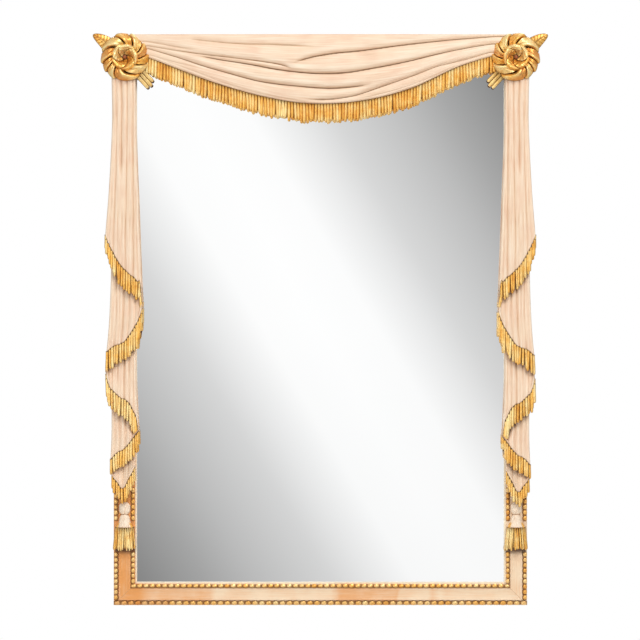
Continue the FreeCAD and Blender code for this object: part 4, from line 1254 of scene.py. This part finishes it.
class CARVED_MIRROR_OT_rosettes(bpy.types.Operator):
    """Carves the corner rosettes: wreath, rose, leaf and reeds"""

    bl_idname = "carved_mirror.rosettes"
    bl_label = "Rosettes"

    def execute(self, context):
        sizes = context.scene.mirror_sizes
        for side, hand in SIDES.items():
            forms = {
                "wreath": wreath_mesh(hand, sizes),
                "rose": rose_mesh(hand, sizes),
                "leaf": leaf_mesh(hand, sizes),
                "stems": stems_mesh(hand),
            }
            for form, mesh in forms.items():
                piece = new_object(f"{side}_gilt_{form}", mesh, finish("gold_leaf"))
                dress(piece, "gilt", f"{side}_rosette_{form}")
        return {"FINISHED"}


# Tassels
def turned_front(name, profile, hand, gathers=0, gather_depth=0.0, gilt_corners=0.0):
    """A turned form, lightly creased, that sits flat on the frame. The profile is (z, radius)."""
    rows, columns = 40, 61
    climb = np.linspace(0, 1, rows)[:, None]
    z = between(profile[0][0], profile[-1][0], climb)
    turn = np.linspace(0, math.pi, columns)[None, :]
    creases = [np.cos(gathers * turn + way * 2.6 * climb + way) for way in (-1, 1)]
    crossing = np.clip(np.maximum(*creases) - 0.86, 0, 1) / 0.14
    radius = smooth_line(profile, z) - gather_depth * crossing * np.sin(np.pi * climb)
    x = hand * tassel_x + radius * np.cos(turn)
    front = np.stack([x, face_y - radius * np.sin(turn), z + 0 * turn], -1)
    points, faces, rim = relief(front, face_y)
    # Painted shade at both ends and in the crossing creases; a painted highlight everywhere else.
    ends = np.exp(-(z - profile[0][0]) / 1.0) + np.exp(-(profile[-1][0] - z) / 1.0)
    shade_and_toning = np.clip(0.8 * ends + 0.22 * crossing * (gather_depth > 0), 0, 1)
    corners = gilt_corners * ease((np.abs(np.cos(turn)) - 0.62) / 0.2) * ease((0.5 - climb) / 0.25)
    return make_mesh(name, points, faces, {
        "shade_and_toning": np.concatenate([shade_and_toning.ravel(), np.full(len(rim), 0.5)]),
        "painted_highlight": np.concatenate([np.clip(0.9 - 2 * shade_and_toning, 0, 1).ravel(), np.zeros(len(rim))]),
        "gilded": np.concatenate([corners.ravel(), np.zeros(len(rim))]),
    })


def flattened(share):
    """A transform that flattens a form towards the frame's face."""
    face = Vector((0, face_y * MM, 0))
    return Matrix.Translation(face) @ Matrix.Diagonal((1, share, 1, 1)) @ Matrix.Translation(-face)


def tassel_skirt(side, hand, sizes):
    """A skirt of strands that flares from the cap to its foot, in two rows over a solid core."""
    top_half, foot_half, top_depth, foot_depth = 17.2, 21.8, 9.0, 13.0
    fall = skirt_high[2] - skirt_low[2]
    made = []
    for row, (count, inset, shorter) in enumerate(((12, 0.0, 0.0), (11, 2.4, 2.0))):
        turn = np.linspace(0.04, 0.96, count) * math.pi
        top = np.stack([(top_half - inset) * np.cos(turn), (top_depth - inset) * np.sin(turn)], -1)
        foot = np.stack([(foot_half - inset) * np.cos(turn), (foot_depth - inset) * np.sin(turn)], -1)
        flare = np.arctan2(foot - top, fall)
        places = np.stack([
            hand * tassel_x + top[:, 0], face_y - top[:, 1] - 1.0, np.full(count, skirt_high[2] + 1.0)
        ], -1)
        turns = np.stack([-flare[:, 1], -flare[:, 0], np.zeros(count)], -1)
        width = sizes.tassel_strand / MM
        scale = np.array([width / 2, width / 2, fall - shorter]) * MM
        made.append(copies(
            f"{side}_skirt_{row}", strand_template(1.0, 0.14), places, scale, turns, finish("gold_leaf"),
            scatter=0.06, lean=0.05, patch=14.0, seed=131 + row + (0 if hand < 0 else 40),
        ))
    profile = ((skirt_low[2] + 6.0, foot_half - 5.0), (skirt_high[2], top_half - 2.0))
    core = turned_front(f"{side}_core", profile, hand)
    core.transform(flattened(top_depth / top_half))
    # Dark all over: painted shade behind the strands.
    core.attributes["shade_and_toning"].data.foreach_set("value", np.full(len(core.vertices), 0.9, np.float32))
    made.append(new_object(f"{side}_core", core, finish("gold_leaf")))
    return joined(f"{side}_gilt_tassel_skirt", made)


class CARVED_MIRROR_OT_tassels(bpy.types.Operator):
    """Carves the two tassels: gathered knob, flared cap and skirt of strands"""

    bl_idname = "carved_mirror.tassels"
    bl_label = "Tassels"

    def execute(self, context):
        sizes = context.scene.mirror_sizes
        knob_radius = (knob_high[0] - knob_low[0]) / 2
        rim_radius = (cap_high[0] - cap_low[0]) / 2
        knob_shares = ((0.0, 6.5), (0.12, 9.2), (0.5, knob_radius), (0.86, 9.0), (1.0, 5.0))
        cap_shares = (
            (0.0, rim_radius + 2.5), (0.12, rim_radius + 1.2), (0.5, 11.2), (0.85, 9.0), (1.0, 6.5),
        )
        knob_profile = [(between(knob_low[2], knob_high[2], share), radius) for share, radius in knob_shares]
        cap_profile = [(between(cap_low[2], cap_high[2], share), radius) for share, radius in cap_shares]
        for side, hand in SIDES.items():
            knob = turned_front(f"{side}_knob", knob_profile, hand, gathers=3, gather_depth=0.45)
            cap = turned_front(
                f"{side}_cap", cap_profile, hand, gathers=5, gather_depth=0.3, gilt_corners=1.0
            )
            for part, mesh in (("knob", knob), ("cap", cap)):
                piece = new_object(f"{side}_carved_tassel_{part}", mesh, finish("turned_paint"))
                dress(piece, "cream_paint", f"{side}_tassel_{part}")
            dress(tassel_skirt(side, hand, sizes), "gilt", f"{side}_tassel_skirt")
        return {"FINISHED"}


# Bead strips
def bead_template():
    """Half a bead of unit length and unit radius that lies along X and looks towards -Y, with the dark toning
    and painted shade of the groove beside the band on its +Z side."""
    rows, columns = 7, 9
    along = np.linspace(0, math.pi, rows)[:, None]
    turn = np.linspace(0, math.pi, columns)[None, :]
    radius = np.maximum(np.sin(along), 0.05) ** 0.8
    x = -np.cos(along) / 2 + 0 * turn
    front = np.stack([x, -radius * np.sin(turn), radius * np.cos(turn)], -1)
    points, faces, rim = relief(front, 0.0)
    towards = (1 + np.cos(turn)) / 2
    # Painted shade between the beads, towards the band, and faintly on the far side.
    ends = between(0.55, 1.1, towards) * np.abs(np.cos(along)) ** 5
    shade_and_toning = np.clip(ends + 0.85 * towards ** 2.5 + 0.25 * (1 - towards) ** 6, 0, 1)
    shade = np.concatenate([shade_and_toning.ravel(), np.ones(len(rim))])
    return make_mesh("bead", points / MM, faces, {"shade_and_toning": shade}, sharp_degrees=80)


def bead_row(name, start, end, pitch, radius, turn, seed, worn_until=-math.inf):
    """A row of beads on a string, from one end to the other, turned so that their painted shade meets the
    band."""
    start, end = np.array(start), np.array(end)
    run = np.linalg.norm(end - start)
    count = max(1, round(run / pitch))
    shares = (np.arange(count) + 0.5) / count
    places = start + np.outer(shares, end - start)
    scale = np.array([run / count, radius, radius]) * MM
    rubbed, handled = 0.5, 0.22
    wear = np.where(places[:, 0] < worn_until, rubbed, handled)
    beads = copies(f"{name}_beads", bead_template(), places, scale, (0, turn, 0), finish("gold_leaf"),
                   scatter=0.05, lean=0.06, patch=40.0, seed=seed, wear=wear)
    upright = abs(math.sin(turn)) > 0.5
    side = np.array([1, 0, 0]) if upright else np.array([0, 0, 1])
    half = 0.7 * radius
    corners = [start - side * half, start + side * half, end + side * half, end - side * half]
    string = np.array(corners + [corner - np.array([0, 0.45 * radius, 0]) for corner in corners])
    faces = [(0, 1, 2, 3), (4, 5, 6, 7), (0, 1, 5, 4), (1, 2, 6, 5), (2, 3, 7, 6), (3, 0, 4, 7)]
    # The string is dark all over: painted shade between the beads.
    dark = {"shade_and_toning": np.full(8, 0.78), "tone": np.full(8, 0.3), "wear": np.full(8, 0.6)}
    return [beads, new_object(f"{name}_string", make_mesh(name, string, faces, dark), finish("gold_leaf"))]


class CARVED_MIRROR_OT_beads(bpy.types.Operator):
    """Strings the gilt beads along the rail and the stiles"""

    bl_idname = "carved_mirror.beads"
    bl_label = "Bead strips"

    def execute(self, context):
        sizes = context.scene.mirror_sizes
        worn_until, skirt_gap, cap_cover = -304.0, 3.0, 13.0
        rail = (
            ("outer", sizes.rail_outer_pitch, 0.0, 5, worn_until),
            ("inner", sizes.rail_inner_pitch, math.pi, 6, -math.inf),
        )
        for row, pitch, turn, seed, worn in rail:
            node = f"bottom_{row}_beads"
            low, high = box_mm(node)
            height = (low[2] + high[2]) / 2
            ends = ((low[0], high[1], height), (high[0], high[1], height))
            strip = bead_row(node, *ends, pitch / MM, (high[2] - low[2]) / 2, turn, seed, worn)
            dress(joined(f"gilt_{node}", strip), "gilt", node)
        seed = 20
        for side, hand in SIDES.items():
            stile = (("outer", sizes.stile_outer_pitch, -hand), ("inner", sizes.stile_inner_pitch, hand))
            for row, pitch, facing in stile:
                node = f"{side}_{row}_beads"
                low, high = box_mm(node)
                middle = (low[0] + high[0]) / 2
                spans = ((low[2], skirt_low[2] - skirt_gap), (cap_low[2] + cap_cover, high[2]))
                strips = []
                for foot, top in spans:
                    ends = ((middle, high[1], foot), (middle, high[1], top))
                    radius = (high[0] - low[0]) / 2
                    turn = facing * math.pi / 2
                    strips += bead_row(f"{node}_{len(strips)}", *ends, pitch / MM, radius, turn, seed)
                    seed += 3
                dress(joined(f"gilt_{node}", strips), "gilt", node)
        return {"FINISHED"}


# Hardware on the back
def solid_centres(node):
    """Where each separate solid of a node has its axis, on the frame's back plane."""
    shell = bmesh.new()
    shell.from_mesh(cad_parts[node].data)
    bmesh.ops.remove_doubles(shell, verts=shell.verts, dist=0.01 * MM)
    waiting = set(shell.verts)
    centres = []
    while waiting:
        edge = [waiting.pop()]
        found = list(edge)
        while edge:
            for link in edge.pop().link_edges:
                for vertex in link.verts:
                    if vertex in waiting:
                        waiting.remove(vertex)
                        found.append(vertex)
                        edge.append(vertex)
        corners = np.array([vertex.co for vertex in found]) / MM
        middle = (corners.min(0) + corners.max(0)) / 2
        centres.append((middle[0], 0.0, middle[2]))
    shell.free()
    return sorted(centres)


def lathe(profile, sides):
    """A turned form about the Y axis from (y, radius) points, open at neither end."""
    turn = np.linspace(0, 2 * math.pi, sides, endpoint=False)
    rings = [np.stack([r * np.cos(turn), np.full(sides, y), r * np.sin(turn)], -1) for y, r in profile]
    faces = grid_faces(len(profile), sides, ring=True)
    faces.append(list(range(sides))[::-1])
    faces.append([(len(profile) - 1) * sides + index for index in range(sides)])
    return np.concatenate(rings), faces


def screw_template(name, under_head, head_profile, length_below):
    """A slotted wood screw on the Y axis: shank, head and two raised halves beside the slot."""
    slot_half, sides = 0.45, 20
    shank_radius = 1.7
    point_y = under_head - length_below
    shank = [(point_y, 0.4), (point_y + 4.0, shank_radius), (under_head, shank_radius)]
    (floor_y, floor_radius), (top_y, top_radius) = head_profile[-2:]
    points, faces = lathe(shank + list(head_profile[:-1]), sides)
    for hand in (-1, 1):
        base = len(points)
        rings = []
        for y, radius in ((floor_y - 0.05, floor_radius), (top_y, top_radius)):
            reach = math.acos(slot_half / radius)
            turn = np.linspace(-reach, reach, 11)
            rings.append(np.stack([hand * radius * np.cos(turn), np.full(11, y), radius * np.sin(turn)], -1))
        points = np.concatenate([points] + rings)
        faces += [[corner + base for corner in face] for face in grid_faces(2, 11, ring=True)]
        faces.append([base + index for index in range(11)][::-1])
        faces.append([base + 11 + index for index in range(11)])
    return make_mesh(name, points, faces)


class CARVED_MIRROR_OT_hardware(bpy.types.Operator):
    """Drives the slotted screws and sets the wall bumpers on the back"""

    bl_idname = "carved_mirror.hardware"
    bl_label = "Back hardware"

    def execute(self, context):
        flat_head = ((-1.0, 2.65), (-0.9, 2.75), (0.0, 3.6))
        pan_head = ((1.9, 3.5), (2.7, 3.5), (3.7, 2.7))
        stock = {
            "swag_screws": ("flat", flat_head, -1.9, 36.1),
            "drop_screws": ("flat", flat_head, -1.9, 36.1),
            "hanger_screws": ("flat", flat_head, -1.9, 12.1),
            "turn_button_screws": ("pan", pan_head, 1.9, 15.9),
        }
        for number, (node, (kind, head, under, below)) in enumerate(stock.items()):
            places = solid_centres(node)
            rng = np.random.default_rng(40 + number)
            turns = np.zeros((len(places), 3))
            turns[:, 1] = rng.uniform(0, math.pi, len(places))
            template = screw_template(f"{kind}_{number}", under, head, below)
            piece = copies(f"slotted_{node}", template, places, (1, 1, 1), turns, finish("zinc_plated_steel"),
                           seed=50 + number)
            dress(piece, "steel", node)
        low, high = box_mm("wall_bumpers")
        thickness = high[1] - low[1]
        puck, faces = lathe(((0.0, 7.0), (thickness - 1.4, 7.0), (thickness - 0.4, 6.5), (thickness, 5.6),
                             (thickness, 2.2), (thickness - 0.8, 1.6)), 28)
        places = solid_centres("wall_bumpers")
        bumpers = copies("domed_wall_bumpers", make_mesh("bumper", puck, faces), places, (1, 1, 1), (0, 0, 0),
                         finish("moulded_rubber"))
        dress(bumpers, "rubber", "wall_bumpers")
        return {"FINISHED"}


# Stage
class CARVED_MIRROR_OT_stage(bpy.types.Operator):
    """Sets the camera, the soft studio light, the pale floor and what the glass reflects"""

    bl_idname = "carved_mirror.stage"
    bl_label = "Stage"

    def execute(self, context):
        scene = context.scene
        scene.view_settings.view_transform = "Standard"
        view_width, distance, sensor, focus_out = 1.28, 9.0, 36.0, 0.01
        view_x, view_z = -0.0008, -0.3288
        camera = bpy.data.objects.new("camera", bpy.data.cameras.new("camera"))
        camera.data.sensor_width = sensor
        camera.data.lens = sensor * distance / view_width
        camera.location = (view_x, face_y * MM - focus_out - distance, view_z)
        camera.rotation_euler = (math.pi / 2, 0, 0)
        scene.collection.objects.link(camera)
        scene.camera = camera
        lamps = {
            "key_light": ((0.9, -2.6, 2.3), (1.6, 1.6), 76.0),
            "fill_light": ((-1.6, -3.0, -0.6), (1.8, 2.0), 22.0),
            "back_light": ((0.6, 2.6, 1.8), (2.0, 2.0), 50.0),
        }
        for name, (place, size, power) in lamps.items():
            lamp = bpy.data.lights.new(name, "AREA")
            lamp.shape = "RECTANGLE"
            lamp.size, lamp.size_y = size
            lamp.energy = power
            holder = bpy.data.objects.new(name, lamp)
            holder.location = place
            target = np.array((0, 0, view_z)) - np.array(place)
            level = math.hypot(target[0], target[1])
            holder.rotation_euler = (math.atan2(level, -target[2]), 0, math.atan2(-target[0], target[1]))
            scene.collection.objects.link(holder)
        self.light_world(scene)
        self.lay_floor()
        return {"FINISHED"}

    def light_world(self, scene):
        """A white surround to the eye, a soft surround to the paint, and for the glass a grey card with
        one bright slanting band."""
        band_slope = (0.8557, 0.517)
        band_shift = 0.001
        card_reach = 0.279
        card = (
            (0.0, "#FFFFFF"), (0.04, "#FDFDFD"), (0.072, "#EAEAEA"), (0.096, "#D8D8D8"), (0.148, "#BEBEBE"),
            (0.18, "#A8A8A8"), (0.226, "#8A8A8A"), (0.5, "#B4B4B4"), (1.0, "#F0F0F0"),
        )
        world = bpy.data.worlds.new("studio")
        scene.world = world
        world.use_nodes = True
        tree = world.node_tree
        tree.nodes.clear()
        path = add(tree, "ShaderNodeLightPath").outputs
        seen = add(tree, "ShaderNodeTexCoord").outputs["Generated"]
        parts = add(tree, "ShaderNodeSeparateXYZ", {0: seen}).outputs
        ahead = add(tree, "ShaderNodeMath", {0: parts["Y"]}, operation="ABSOLUTE")
        level = add(tree, "ShaderNodeMath", {0: parts["X"], 1: band_slope[0]}, operation="MULTIPLY")
        slant = add(tree, "ShaderNodeMath", {0: parts["Z"], 1: band_slope[1], 2: level},
                    operation="MULTIPLY_ADD")
        spread = add(tree, "ShaderNodeMath", {0: slant, 1: ahead}, operation="DIVIDE")
        moved = add(tree, "ShaderNodeMath", {0: spread, 1: band_shift}, operation="ADD")
        off_band = add(tree, "ShaderNodeMath", {0: moved}, operation="ABSOLUTE")
        share = add(tree, "ShaderNodeMath", {0: off_band, 1: card_reach}, operation="DIVIDE")
        ramp = add(tree, "ShaderNodeValToRGB", {"Fac": share})
        stops = ramp.color_ramp.elements
        for place_share, code in card[1:-1]:
            stops.new(place_share).color = rgba(linear(code))
        stops[0].color = rgba(linear(card[0][1]))
        stops[len(stops) - 1].color = rgba(linear(card[-1][1]))
        below = add(tree, "ShaderNodeMath", {0: parts["Z"], 1: 0.7, 2: 1.0}, operation="MULTIPLY_ADD")
        dimmed = add(tree, "ShaderNodeMath", {0: below, 1: 1.0}, operation="MINIMUM")
        soft = add(tree, "ShaderNodeBackground", {"Color": (1, 1, 1, 1), "Strength": 0.42})
        white = add(tree, "ShaderNodeBackground", {"Color": (1, 1, 1, 1), "Strength": 1.0})
        studio = add(tree, "ShaderNodeBackground", {"Color": ramp, "Strength": dimmed})
        bright = add(tree, "ShaderNodeMath", {0: path["Is Glossy Ray"], 1: path["Is Transmission Ray"]},
                     operation="MAXIMUM")
        shone = add(tree, "ShaderNodeMixShader", {0: bright, 1: soft, 2: studio})
        whole = add(tree, "ShaderNodeMixShader", {0: path["Is Camera Ray"], 1: shone, 2: white})
        add(tree, "ShaderNodeOutputWorld", {"Surface": whole})

    def lay_floor(self):
        """A pale floor below the mirror."""
        below, half = 260.0, 1600.0
        z = frame_foot_z - below
        corners = [(-half, -half, z), (half, -half, z), (half, half, z), (-half, half, z)]
        material, tree, shader = new_material("pale_floor")
        place = add(tree, "ShaderNodeTexCoord").outputs["Object"]
        clouds = add(tree, "ShaderNodeTexNoise", {"Vector": place, "Scale": 2.0})
        shade = add(tree, "ShaderNodeMix", {0: clouds, 6: rgba(linear("#F4F3F1")),
                                            7: rgba(linear("#F8F7F5"))}, data_type="RGBA")
        fill(tree, shader, {"Base Color": shade, "Roughness": 0.8})
        mesh = bpy.data.meshes.new("floor")
        mesh.from_pydata((np.array(corners) * MM).tolist(), [], [(0, 1, 2, 3)])
        new_object("floor", mesh, material)


steps = (
    CARVED_MIRROR_OT_finishes,
    CARVED_MIRROR_OT_swag,
    CARVED_MIRROR_OT_swag_fringe,
    CARVED_MIRROR_OT_drops,
    CARVED_MIRROR_OT_rosettes,
    CARVED_MIRROR_OT_tassels,
    CARVED_MIRROR_OT_beads,
    CARVED_MIRROR_OT_hardware,
    CARVED_MIRROR_OT_stage,
)


class CARVED_MIRROR_PT_panel(bpy.types.Panel):
    """Lists the steps that dress the mirror, with its sizes and colours"""

    bl_idname = "CARVED_MIRROR_PT_panel"
    bl_label = "Carved mirror"
    bl_space_type = "VIEW_3D"
    bl_region_type = "UI"
    bl_category = "Mirror"

    def draw(self, context):
        for step in steps:
            self.layout.operator(step.bl_idname)
        for group in (context.scene.mirror_sizes, context.scene.mirror_colours):
            for name in group.__annotations__:
                self.layout.prop(group, name)


classes = (CarvingSizes, FinishColours, *steps, CARVED_MIRROR_PT_panel)


def register():
    for entry in classes:
        bpy.utils.register_class(entry)
    bpy.types.Scene.mirror_sizes = bpy.props.PointerProperty(type=CarvingSizes)
    bpy.types.Scene.mirror_colours = bpy.props.PointerProperty(type=FinishColours)


def unregister():
    del bpy.types.Scene.mirror_colours
    del bpy.types.Scene.mirror_sizes
    for entry in reversed(classes):
        bpy.utils.unregister_class(entry)


def main():
    register()
    for step in steps:
        group, name = step.bl_idname.split(".")
        getattr(getattr(bpy.ops, group), name)()


if __name__ == "__main__":
    main()
